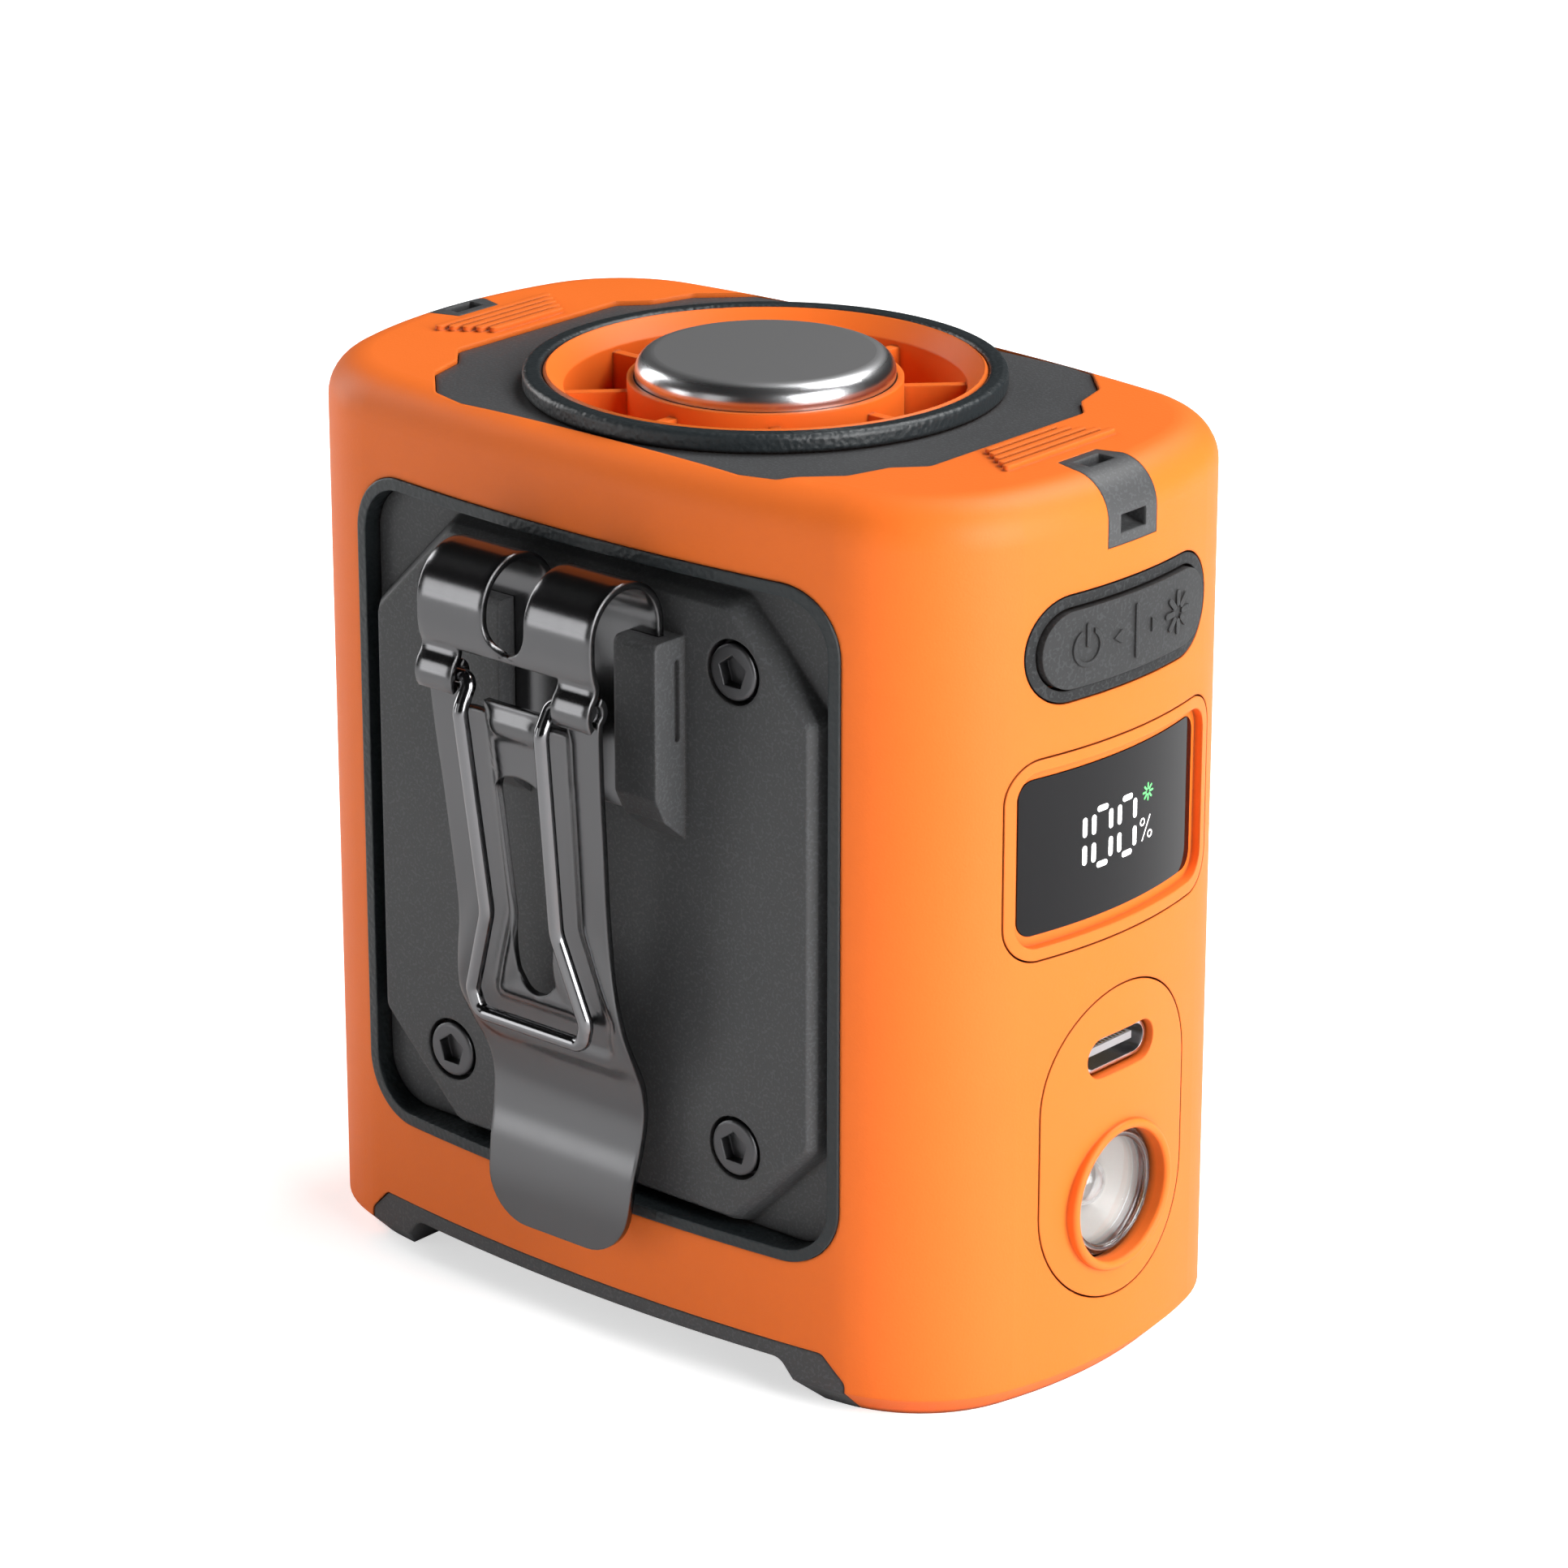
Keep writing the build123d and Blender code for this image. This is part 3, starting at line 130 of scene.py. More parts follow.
add_camera((0.3379, -0.3871, 0.2346), (-0.0075, 0.0112, 0.0417), 136.2)
add_floor(4.0, 0.0)
middle = (0.0, 0.0, 0.045)
add_softbox("right_key", (0.8, 0.0, 0.3), middle, 0.55, 0.75, 12.5)
add_softbox("front_fill", (-0.1, -0.95, 0.3), middle, 0.4, 0.6, 0.6)
add_softbox("top_light", (0.15, 0.45, 0.75), middle, 0.5, 0.4, 6.0)
add_softbox("left_rim", (-0.8, -0.05, 0.3), middle, 0.25, 0.6, 3.0)
add_softbox("low_left_front", (-0.34, -0.42, 0.1), middle, 0.16, 0.3, 0.45)
add_studio_world(0.3, 0.36, 1.0)
bpy.context.scene.view_settings.view_transform = "Standard"


# ------------------------------------------------------------------ effects that several finishes share
def new_group(name, inputs, outputs):
    """Empty shader group with named float, colour or vector sockets."""
    group = bpy.data.node_groups.new(name, "ShaderNodeTree")
    kinds = {"value": "NodeSocketFloat", "colour": "NodeSocketColor", "vector": "NodeSocketVector"}
    for label, kind in inputs:
        group.interface.new_socket(name=label, in_out="INPUT", socket_type=kinds[kind])
    for label, kind in outputs:
        group.interface.new_socket(name=label, in_out="OUTPUT", socket_type=kinds[kind])
    return group, group.nodes.new("NodeGroupInput"), group.nodes.new("NodeGroupOutput")


def put(tree, kind, **settings):
    """Add a node and set its properties."""
    made = tree.nodes.new(kind)
    for label, value in settings.items():
        setattr(made, label, value)
    return made


def math_step(tree, operation, first, second=None, clamp=False):
    """Math node between two values, each a socket or a number."""
    step = put(tree, "ShaderNodeMath", operation=operation, use_clamp=clamp)
    for i, value in enumerate((first, second)):
        if value is None:
            continue
        if isinstance(value, (int, float)):
            step.inputs[i].default_value = value
        else:
            tree.links.new(value, step.inputs[i])
    return step.outputs[0]


def mix_colour(tree, share, first, second):
    """Blend of two colours, each a socket or a colour."""
    blend = put(tree, "ShaderNodeMix", data_type="RGBA")
    for label, value in (("Factor_Float", share), ("A_Color", first), ("B_Color", second)):
        socket = next(s for s in blend.inputs if s.identifier == label)
        if hasattr(value, "links"):
            tree.links.new(value, socket)
        else:
            socket.default_value = value
    return next(s for s in blend.outputs if s.identifier == "Result_Color")


def build_tone_drift():
    """Slow change of colour across a moulding, as its pigment and wall thickness vary."""
    group, given, out = new_group(
        "tone_drift",
        [
            ("Colour", "colour"), ("Drift Colour", "colour"),
            ("Patches Per Metre", "value"), ("Amount", "value"),
        ],
        [("Colour", "colour"), ("Mask", "value")],
    )
    where = put(group, "ShaderNodeTexCoord").outputs["Object"]
    cloud = put(group, "ShaderNodeTexNoise")
    cloud.inputs["Detail"].default_value = 3.0
    group.links.new(where, cloud.inputs["Vector"])
    group.links.new(given.outputs["Patches Per Metre"], cloud.inputs["Scale"])
    mask = math_step(group, "MULTIPLY", cloud.outputs["Fac"], given.outputs["Amount"], clamp=True)
    shade = mix_colour(group, mask, given.outputs["Colour"], given.outputs["Drift Colour"])
    group.links.new(shade, out.inputs["Colour"])
    group.links.new(cloud.outputs["Fac"], out.inputs["Mask"])
    return group


SPECK_START = 0.62
SOFT_SCALE_SHARE = 0.6


def build_spark_grain():
    """Fine moulded texture: packed rounded pits over a softer noise."""
    group, given, out = new_group(
        "spark_grain", [("Grains Per Metre", "value")], [("Height", "value"), ("Speck", "value")]
    )
    where = put(group, "ShaderNodeTexCoord").outputs["Object"]
    pits = put(group, "ShaderNodeTexVoronoi", feature="SMOOTH_F1")
    pits.inputs["Smoothness"].default_value = 0.6
    soft = put(group, "ShaderNodeTexNoise")
    soft.inputs["Detail"].default_value = 2.0
    soft_scale = math_step(group, "MULTIPLY", given.outputs["Grains Per Metre"], SOFT_SCALE_SHARE)
    for texture, scale in ((pits, given.outputs["Grains Per Metre"]), (soft, soft_scale)):
        group.links.new(where, texture.inputs["Vector"])
        group.links.new(scale, texture.inputs["Scale"])
    height = math_step(group, "ADD", pits.outputs["Distance"], soft.outputs["Fac"])
    speck = math_step(group, "GREATER_THAN", pits.outputs["Distance"], SPECK_START)
    group.links.new(height, out.inputs["Height"])
    group.links.new(speck, out.inputs["Speck"])
    return group


NICKS_PER_METRE = 900.0


def build_edge_touch():
    """Rounded normal near edges, and a mask of the edges broken up by a noise."""
    group, given, out = new_group(
        "edge_touch", [("Radius", "value"), ("Strength", "value")], [("Normal", "vector"), ("Mask", "value")]
    )
    rounding = put(group, "ShaderNodeBevel", samples=4)
    group.links.new(given.outputs["Radius"], rounding.inputs["Radius"])
    surface = put(group, "ShaderNodeNewGeometry").outputs["Normal"]
    lean = put(group, "ShaderNodeVectorMath", operation="DOT_PRODUCT")
    group.links.new(rounding.outputs["Normal"], lean.inputs[0])
    group.links.new(surface, lean.inputs[1])
    edge = math_step(group, "SUBTRACT", 1.0, lean.outputs["Value"])
    where = put(group, "ShaderNodeTexCoord").outputs["Object"]
    nicks = put(group, "ShaderNodeTexNoise")
    nicks.inputs["Scale"].default_value = NICKS_PER_METRE
    group.links.new(where, nicks.inputs["Vector"])
    broken = math_step(group, "MULTIPLY", edge, nicks.outputs["Fac"])
    mask = math_step(group, "MULTIPLY", broken, given.outputs["Strength"], clamp=True)
    group.links.new(rounding.outputs["Normal"], out.inputs["Normal"])
    group.links.new(mask, out.inputs["Mask"])
    return group


def build_drawn_lines():
    """Hairlines of rolled or brushed metal, long in one direction."""
    group, given, out = new_group(
        "drawn_lines", [("Stretch", "vector")], [("Height", "value"), ("Streak", "value")]
    )
    where = put(group, "ShaderNodeTexCoord").outputs["Object"]
    stretched = put(group, "ShaderNodeVectorMath", operation="MULTIPLY")
    group.links.new(where, stretched.inputs[0])
    group.links.new(given.outputs["Stretch"], stretched.inputs[1])
    hair = put(group, "ShaderNodeTexNoise")
    hair.inputs["Scale"].default_value = 1.0
    hair.inputs["Detail"].default_value = 4.0
    group.links.new(stretched.outputs["Vector"], hair.inputs["Vector"])
    group.links.new(hair.outputs["Fac"], out.inputs["Height"])
    group.links.new(hair.outputs["Fac"], out.inputs["Streak"])
    return group


# Painted shade: the near-black colour that joints and recesses are darkened towards.
PAINTED_SHADE_COLOUR = (0.01, 0.004, 0.002, 1)
CREVICE_START = 0.35


def build_crevice_shade():
    """Painted shade: darker colour inside joints and recesses, where little light reaches."""
    group, given, out = new_group(
        "crevice_shade",
        [("Colour", "colour"), ("Reach", "value"), ("Depth", "value")],
        [("Colour", "colour")],
    )
    open_sky = put(group, "ShaderNodeAmbientOcclusion", samples=2)
    group.links.new(given.outputs["Reach"], open_sky.inputs["Distance"])
    closed = math_step(group, "SUBTRACT", 1.0, open_sky.outputs["AO"])
    firm = math_step(group, "SUBTRACT", closed, CREVICE_START)
    share = math_step(group, "MULTIPLY", firm, given.outputs["Depth"], clamp=True)
    shade = mix_colour(group, share, given.outputs["Colour"], PAINTED_SHADE_COLOUR)
    group.links.new(shade, out.inputs["Colour"])
    return group


tone_drift = build_tone_drift()
crevice_shade = build_crevice_shade()
spark_grain = build_spark_grain()
edge_touch = build_edge_touch()
drawn_lines = build_drawn_lines()


def use_group(tree, group, **values):
    """Place a shared effect in a material with its own values."""
    made = tree.nodes.new("ShaderNodeGroup")
    made.node_tree = group
    for label, value in values.items():
        made.inputs[label.replace("_", " ")].default_value = value
    return made


def new_finish(name, roughness, metallic=0.0):
    """Material with a bare Principled shader."""
    finish = bpy.data.materials.new(name)
    finish.use_nodes = True
    shader = finish.node_tree.nodes["Principled BSDF"]
    shader.inputs["Roughness"].default_value = roughness
    shader.inputs["Metallic"].default_value = metallic
    return finish, finish.node_tree, shader


def range_of(tree, value, low, high):
    """A 0 to 1 value mapped between two numbers."""
    spread = put(tree, "ShaderNodeMapRange")
    spread.inputs["To Min"].default_value = low
    spread.inputs["To Max"].default_value = high
    tree.links.new(value, spread.inputs["Value"])
    return spread.outputs["Result"]


def relief(tree, shader, height, depth, normal=None):
    """Bump of a depth in metres on a shader, over a rounded normal where one is given."""
    bump = put(tree, "ShaderNodeBump")
    bump.inputs["Strength"].default_value = 1.0
    bump.inputs["Distance"].default_value = depth
    tree.links.new(height, bump.inputs["Height"])
    if normal is not None:
        tree.links.new(normal, bump.inputs["Normal"])
    tree.links.new(bump.outputs["Normal"], shader.inputs["Normal"])


# ------------------------------------------------------------------ finishes
SPECK_SHARE = 0.5
ROUGHNESS_SPREAD = 0.05


def moulding(name, colour, drift, edge, roughness, grains, depth, rounding, edge_strength, shine, speck=None):
    """Moulded plastic or rubber: pigment drift, spark grain, rounded edges with a faint lighter line, and
    painted shade in crevices.
    """
    finish, tree, shader = new_finish(name, roughness)
    shader.inputs["Specular IOR Level"].default_value = shine
    tone = use_group(tree, tone_drift, Colour=colour, Drift_Colour=drift, Patches_Per_Metre=45.0, Amount=0.8)
    grain = use_group(tree, spark_grain, Grains_Per_Metre=grains)
    touch = use_group(tree, edge_touch, Radius=rounding, Strength=edge_strength)
    base = mix_colour(tree, touch.outputs["Mask"], tone.outputs["Colour"], edge)
    if speck is not None:
        dots = math_step(tree, "MULTIPLY", grain.outputs["Speck"], SPECK_SHARE)
        base = mix_colour(tree, dots, base, speck)
    # Painted shade: ambient occlusion darkens the base colour in joints and recesses.
    painted_crevice_shade = use_group(tree, crevice_shade, Reach=0.7 * MM, Depth=1.6)
    tree.links.new(base, painted_crevice_shade.inputs["Colour"])
    tree.links.new(painted_crevice_shade.outputs["Colour"], shader.inputs["Base Color"])
    smoothest, roughest = roughness - ROUGHNESS_SPREAD, roughness + ROUGHNESS_SPREAD
    rough = range_of(tree, tone.outputs["Mask"], smoothest, roughest)
    tree.links.new(rough, shader.inputs["Roughness"])
    relief(tree, shader, grain.outputs["Height"], depth, touch.outputs["Normal"])
    return finish


def metal(name, colour, drift, roughness, spread, stretch, depth, rounding):
    """Plated or bare metal with faint drawn lines and rounded edges."""
    finish, tree, shader = new_finish(name, roughness, 1.0)
    tone = use_group(tree, tone_drift, Colour=colour, Drift_Colour=drift, Patches_Per_Metre=60.0, Amount=0.9)
    lines = use_group(tree, drawn_lines, Stretch=stretch)
    touch = use_group(tree, edge_touch, Radius=rounding, Strength=1.0)
    tree.links.new(tone.outputs["Colour"], shader.inputs["Base Color"])
    rough = range_of(tree, lines.outputs["Streak"], roughness - spread, roughness + spread)
    tree.links.new(rough, shader.inputs["Roughness"])
    relief(tree, shader, lines.outputs["Height"], depth, touch.outputs["Normal"])
    return finish


SATIN_DEPTH = 0.35 * MM
SATIN_COLOUR = (0.4, 0.4, 0.405, 1)
RIM_ROUGHNESS = 0.26
SATIN_EXTRA_ROUGHNESS = 0.22


def turned_cap(name, top):
    """Cap with a satin upper face and a polished rolled edge."""
    finish, tree, shader = new_finish(name, 0.2, 1.0)
    tone = use_group(
        tree, tone_drift, Colour=(0.62, 0.62, 0.63, 1), Drift_Colour=(0.5, 0.51, 0.53, 1),
        Patches_Per_Metre=50.0, Amount=0.7,
    )
    lines = use_group(tree, drawn_lines, Stretch=(9000.0, 9000.0, 9000.0))
    place = put(tree, "ShaderNodeTexCoord").outputs["Object"]
    parts = put(tree, "ShaderNodeSeparateXYZ")
    tree.links.new(place, parts.inputs["Vector"])
    above = math_step(tree, "SUBTRACT", parts.outputs["Z"], top - SATIN_DEPTH)
    satin = math_step(tree, "DIVIDE", above, SATIN_DEPTH, clamp=True)
    shade = mix_colour(tree, satin, tone.outputs["Colour"], SATIN_COLOUR)
    tree.links.new(shade, shader.inputs["Base Color"])
    rough = math_step(tree, "MULTIPLY_ADD", satin, SATIN_EXTRA_ROUGHNESS)
    rough.node.inputs[2].default_value = RIM_ROUGHNESS
    tree.links.new(rough, shader.inputs["Roughness"])
    relief(tree, shader, lines.outputs["Height"], 0.0004 * MM)
    return finish


def dark_glass(name):
    """Black display window under a clear hard coat."""
    finish, tree, shader = new_finish(name, 0.05)
    tone = use_group(
        tree, tone_drift, Colour=(0.002, 0.002, 0.003, 1), Drift_Colour=(0.004, 0.004, 0.005, 1),
        Patches_Per_Metre=90.0, Amount=0.8,
    )
    tree.links.new(tone.outputs["Colour"], shader.inputs["Base Color"])
    rough = range_of(tree, tone.outputs["Mask"], 0.02, 0.06)
    tree.links.new(rough, shader.inputs["Roughness"])
    shader.inputs["Specular IOR Level"].default_value = 0.3
    return finish


def clear_plastic(name, tint, roughness):
    """Clear lens material with faint flow marks."""
    finish, tree, shader = new_finish(name, roughness)
    shader.inputs["Transmission Weight"].default_value = 1.0
    shader.inputs["IOR"].default_value = 1.46
    flow = use_group(
        tree, tone_drift, Colour=tint, Drift_Colour=(1, 1, 1, 1), Patches_Per_Metre=200.0, Amount=0.5
    )
    tree.links.new(flow.outputs["Colour"], shader.inputs["Base Color"])
    relief(tree, shader, flow.outputs["Mask"], 0.01 * MM)
    return finish


def glowing(name, colour, strength):
    """Glowing colour, a little uneven: the display's lit segments, and a painted glow on the unlit LED
    phosphor.
    """
    finish, tree, shader = new_finish(name, 0.5)
    tone = use_group(
        tree, tone_drift, Colour=colour, Drift_Colour=(1, 1, 1, 1), Patches_Per_Metre=400.0, Amount=0.15
    )
    tree.links.new(tone.outputs["Colour"], shader.inputs["Base Color"])
    tree.links.new(tone.outputs["Colour"], shader.inputs["Emission Color"])
    shader.inputs["Emission Strength"].default_value = strength
    return finish


MASK_GREEN = (0.01, 0.09, 0.035, 1)
ROUTE_GREEN = (0.03, 0.2, 0.07, 1)
ROUTES_PER_METRE = 420.0
ROUTE_START = 0.5


def circuit_board(name):
    """Green solder mask with square copper routes showing through."""
    finish, tree, shader = new_finish(name, 0.35)
    place = put(tree, "ShaderNodeTexCoord").outputs["Object"]
    routes = put(tree, "ShaderNodeTexVoronoi", distance="CHEBYCHEV")
    routes.inputs["Scale"].default_value = ROUTES_PER_METRE
    tree.links.new(place, routes.inputs["Vector"])
    track = math_step(tree, "GREATER_THAN", routes.outputs["Distance"], ROUTE_START)
    shade = mix_colour(tree, track, MASK_GREEN, ROUTE_GREEN)
    tree.links.new(shade, shader.inputs["Base Color"])
    relief(tree, shader, track, 0.03 * MM)
    return finish


dark_edge = (0.12, 0.122, 0.125, 1)
bright_orange = (1.0, 0.3, 0.06, 1)
finishes = {
    "orange_shell": moulding(
        "matt_orange_shell", (0.86, 0.165, 0.018, 1), (0.93, 0.185, 0.024, 1), bright_orange,
        0.5, 5200.0, 0.008 * MM, 0.35 * MM, 0.8, 0.26,
    ),
    "orange_inner": moulding(
        "matt_orange_outlet", (0.84, 0.16, 0.018, 1), (0.9, 0.175, 0.023, 1), bright_orange,
        0.46, 5200.0, 0.004 * MM, 0.3 * MM, 0.8, 0.25,
    ),
    "orange_insert": moulding(
        "matt_orange_insert", (0.88, 0.17, 0.02, 1), (0.95, 0.19, 0.026, 1), bright_orange,
        0.47, 5600.0, 0.004 * MM, 0.25 * MM, 0.8, 0.25,
    ),
    "dark_plastic": moulding(
        "charcoal_moulding", (0.055, 0.056, 0.058, 1), (0.068, 0.069, 0.071, 1), dark_edge,
        0.48, 4200.0, 0.012 * MM, 0.45 * MM, 1.2, 0.4, (0.095, 0.1, 0.105, 1),
    ),
    "black_plastic": moulding(
        "black_moulding", (0.012, 0.012, 0.013, 1), (0.018, 0.018, 0.019, 1), dark_edge,
        0.5, 3800.0, 0.01 * MM, 0.2 * MM, 1.0, 0.3,
    ),
    "fan_plastic": moulding(
        "glossy_fan_moulding", (0.02, 0.02, 0.021, 1), (0.028, 0.028, 0.029, 1), dark_edge,
        0.3, 3000.0, 0.003 * MM, 0.25 * MM, 1.0, 0.5,
    ),
    "black_rubber": moulding(
        "seal_rubber", (0.012, 0.016, 0.018, 1), (0.018, 0.024, 0.027, 1), (0.07, 0.1, 0.11, 1),
        0.42, 1900.0, 0.06 * MM, 0.3 * MM, 1.4, 0.5,
    ),
    "pad_rubber": moulding(
        "surround_rubber", (0.016, 0.017, 0.018, 1), (0.022, 0.023, 0.024, 1), dark_edge,
        0.55, 3600.0, 0.014 * MM, 0.25 * MM, 1.2, 0.22, (0.05, 0.052, 0.055, 1),
    ),
    "key_rubber": moulding(
        "key_rubber_finish", (0.034, 0.035, 0.036, 1), (0.042, 0.043, 0.044, 1), dark_edge,
        0.52, 3900.0, 0.009 * MM, 0.2 * MM, 1.4, 0.18, (0.06, 0.062, 0.065, 1),
    ),
    "dark_screws": metal(
        "blackened_screws", (0.1, 0.1, 0.105, 1), (0.14, 0.14, 0.145, 1), 0.42, 0.08,
        (3000.0, 3000.0, 3000.0), 0.004 * MM, 0.2 * MM,
    ),
    "black_steel": metal(
        "black_oxide_steel", (0.06, 0.06, 0.065, 1), (0.09, 0.09, 0.095, 1), 0.45, 0.08,
        (3000.0, 3000.0, 3000.0), 0.004 * MM, 0.15 * MM,
    ),
    "clip_steel": metal(
        "black_nickel_strip", (0.13, 0.13, 0.133, 1), (0.16, 0.16, 0.165, 1), 0.2, 0.03,
        (900.0, 900.0, 60.0), 0.0003 * MM, 0.3 * MM,
    ),
    "wire_steel": metal(
        "black_nickel_wire", (0.2, 0.2, 0.205, 1), (0.25, 0.25, 0.26, 1), 0.14, 0.03,
        (900.0, 900.0, 60.0), 0.0003 * MM, 0.1 * MM,
    ),
    "polished_cap": turned_cap("satin_and_polished_cap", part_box("hub_cap")[1].z),
    "motor_steel": metal(
        "ground_steel", (0.5, 0.5, 0.51, 1), (0.6, 0.6, 0.61, 1), 0.25, 0.06,
        (200.0, 200.0, 6000.0), 0.001 * MM, 0.1 * MM,
    ),
    "copper_stator": metal(
        "enamelled_copper", (0.6, 0.22, 0.08, 1), (0.75, 0.33, 0.13, 1), 0.32, 0.08,
        (300.0, 300.0, 5000.0), 0.02 * MM, 0.1 * MM,
    ),
    "display_window": dark_glass("smoked_display_window"),
    "port_steel": metal(
        "plated_socket_shell", (0.62, 0.62, 0.63, 1), (0.72, 0.72, 0.73, 1), 0.22, 0.05,
        (1500.0, 200.0, 1500.0), 0.001 * MM, 0.08 * MM,
    ),
    "clear_lens": clear_plastic("clear_torch_lens", (0.97, 0.98, 1.0, 1), 0.03),
    "mirror_silver": moulding(
        "satin_silver_bowl", (0.5, 0.49, 0.46, 1), (0.58, 0.56, 0.5, 1), (0.75, 0.66, 0.35, 1),
        0.3, 2600.0, 0.003 * MM, 0.2 * MM, 0.6, 0.6,
    ),
    # Painted glow: the torch LED is not lit, but its yellow phosphor is given emission.
    "led_yellow": glowing("led_phosphor_painted_glow", (0.9, 0.6, 0.03, 1), 0.35),
    "board_green": circuit_board("green_solder_mask"),
    "cell_wrap": moulding(
        "blue_cell_sleeve", (0.03, 0.12, 0.4, 1), (0.04, 0.16, 0.5, 1), (0.2, 0.35, 0.7, 1),
        0.28, 2000.0, 0.002 * MM, 0.3 * MM, 0.5, 0.5,
    ),
}
for node in nodes.values():
    for holder in node.material_slots:
        holder.material = finishes[holder.material.name.split(".")[0]]
nodes["usb_tongue"].material_slots[0].material = moulding(
    "pale_tongue_moulding", (0.3, 0.3, 0.31, 1), (0.36, 0.36, 0.37, 1), (0.6, 0.6, 0.6, 1),
    0.4, 5000.0, 0.002 * MM, 0.05 * MM, 0.5, 0.5,
)


# ------------------------------------------------------------------ making pieces
OUTSIDE_X = 0.1


def new_piece(name, mesh, finish, body):
    """Link a mesh as a finished piece that rides on a body."""
    piece = bpy.data.objects.new(name, mesh)
    bpy.context.scene.collection.objects.link(piece)
    mesh.materials.append(finish)
    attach(piece, body)
    return piece


def wall_x(node, y, z):
    """Where the outer face of a right-hand node lies at a place (y, z)."""
    start = Vector((OUTSIDE_X, y, z))
    hit, point, _, _ = nodes[node].ray_cast(start, Vector((-1, 0, 0)))
    if not hit:
        raise ValueError(f"{node} has no face at y {y}, z {z}")
    return point.x


# ------------------------------------------------------------------ figures on the display
FIGURE_PROUD = 0.02 * MM
FIGURE_SINK = 0.05 * MM
PILL_STEPS = 8


def add_plate(mesh, outline):
    """Thin plate with a given (y, z) outline, laid on the curved display window."""
    front = []
    back = []
    for y, z in outline:
        x = wall_x("display_glass", y, z)
        front.append(mesh.verts.new((x + FIGURE_PROUD, y, z)))
        back.append(mesh.verts.new((x - FIGURE_SINK, y, z)))
    mesh.faces.new(front)
    mesh.faces.new(back[::-1])
    for i in range(len(outline)):
        after = (i + 1) % len(outline)
        mesh.faces.new((front[i], back[i], back[after], front[after]))


def pill(start, end, width):
    """Outline of a round-ended stroke between two (y, z) points in millimetres."""
    (y0, z0), (y1, z1) = start, end
    heading = math.atan2(z1 - z0, y1 - y0)
    outline = []
    for (y, z), turn in (((y1, z1), -90), ((y0, z0), 90)):
        for i in range(PILL_STEPS + 1):
            angle = heading + math.radians(turn + 180 * i / PILL_STEPS)
            point = (y + width / 2 * math.cos(angle), z + width / 2 * math.sin(angle))
            outline.append((point[0] * MM, point[1] * MM))
    return outline


def figure_piece(name, strokes, finish):
    """One lit sign made of round-ended strokes (start, end, width)."""
    mesh = bmesh.new()
    for start, end, width in strokes:
        add_plate(mesh, pill(start, end, width))
    bmesh.ops.recalc_face_normals(mesh, faces=mesh.faces)
    data = bpy.data.meshes.new(name)
    mesh.to_mesh(data)
    mesh.free()
    return new_piece(name, data, finish, "body")


FIGURE_LOW = 49.75
FIGURE_HIGH = 54.95
STROKE = 0.56
FIGURE_MIDDLE = (FIGURE_LOW + FIGURE_HIGH) / 2
SEGMENT_GAP = 0.66
CROSSBAR_INSET = 0.68
PERCENT_HIGH, PERCENT_LOW = (3.35, 51.95), (4.55, 50.55)
PERCENT_SLASH = ((3.35, 50.2), (4.55, 52.3))
PERCENT_RING, PERCENT_STROKE = 0.32, 0.13
SIGN_Y, SIGN_Z = 4.15, 54.6
SIGN_ARMS, SIGN_NEAR, SIGN_FAR, SIGN_STROKE = 8, 0.3, 0.75, 0.2


def upright_pair(y):
    """Lower and upper upright segments."""
    return [
        ((y, FIGURE_LOW + SEGMENT_GAP), (y, FIGURE_MIDDLE - SEGMENT_GAP), STROKE),
        ((y, FIGURE_MIDDLE + SEGMENT_GAP), (y, FIGURE_HIGH - SEGMENT_GAP), STROKE),
    ]


def nought(left, right):
    """Six segments of a nought."""
    strokes = upright_pair(left) + upright_pair(right)
    for z in (FIGURE_LOW, FIGURE_HIGH):
        strokes.append(((left + CROSSBAR_INSET, z), (right - CROSSBAR_INSET, z), STROKE))
    return strokes


def ring_strokes(y, z, radius, width, count=10):
    """Small ring made of short strokes."""
    points = [
        (y + radius * math.cos(2 * math.pi * i / count), z + radius * math.sin(2 * math.pi * i / count))
        for i in range(count)
    ]
    return [(points[i], points[(i + 1) % count], width) for i in range(count)]


white_figure = glowing("lit_white_figures", (1.0, 1.0, 1.0, 1), 0.9)
green_figure = glowing("lit_green_sign", (0.03, 0.5, 0.08, 1), 0.9)
figure_piece("figure_one", upright_pair(-4.7), white_figure)
figure_piece("figure_nought_left", nought(-3.55, -1.3), white_figure)
figure_piece("figure_nought_right", nought(-0.1, 2.15), white_figure)
percent = ring_strokes(*PERCENT_HIGH, PERCENT_RING, PERCENT_STROKE)
percent += ring_strokes(*PERCENT_LOW, PERCENT_RING, PERCENT_STROKE)
figure_piece("figure_percent", percent + [(*PERCENT_SLASH, PERCENT_STROKE)], white_figure)
star = []
for i in range(SIGN_ARMS):
    angle = math.radians(360 / SIGN_ARMS * i)
    near = (SIGN_Y + SIGN_NEAR * math.cos(angle), SIGN_Z + SIGN_NEAR * math.sin(angle))
    far = (SIGN_Y + SIGN_FAR * math.cos(angle), SIGN_Z + SIGN_FAR * math.sin(angle))
    star.append((near, far, SIGN_STROKE))
figure_piece("fan_sign", star, green_figure)

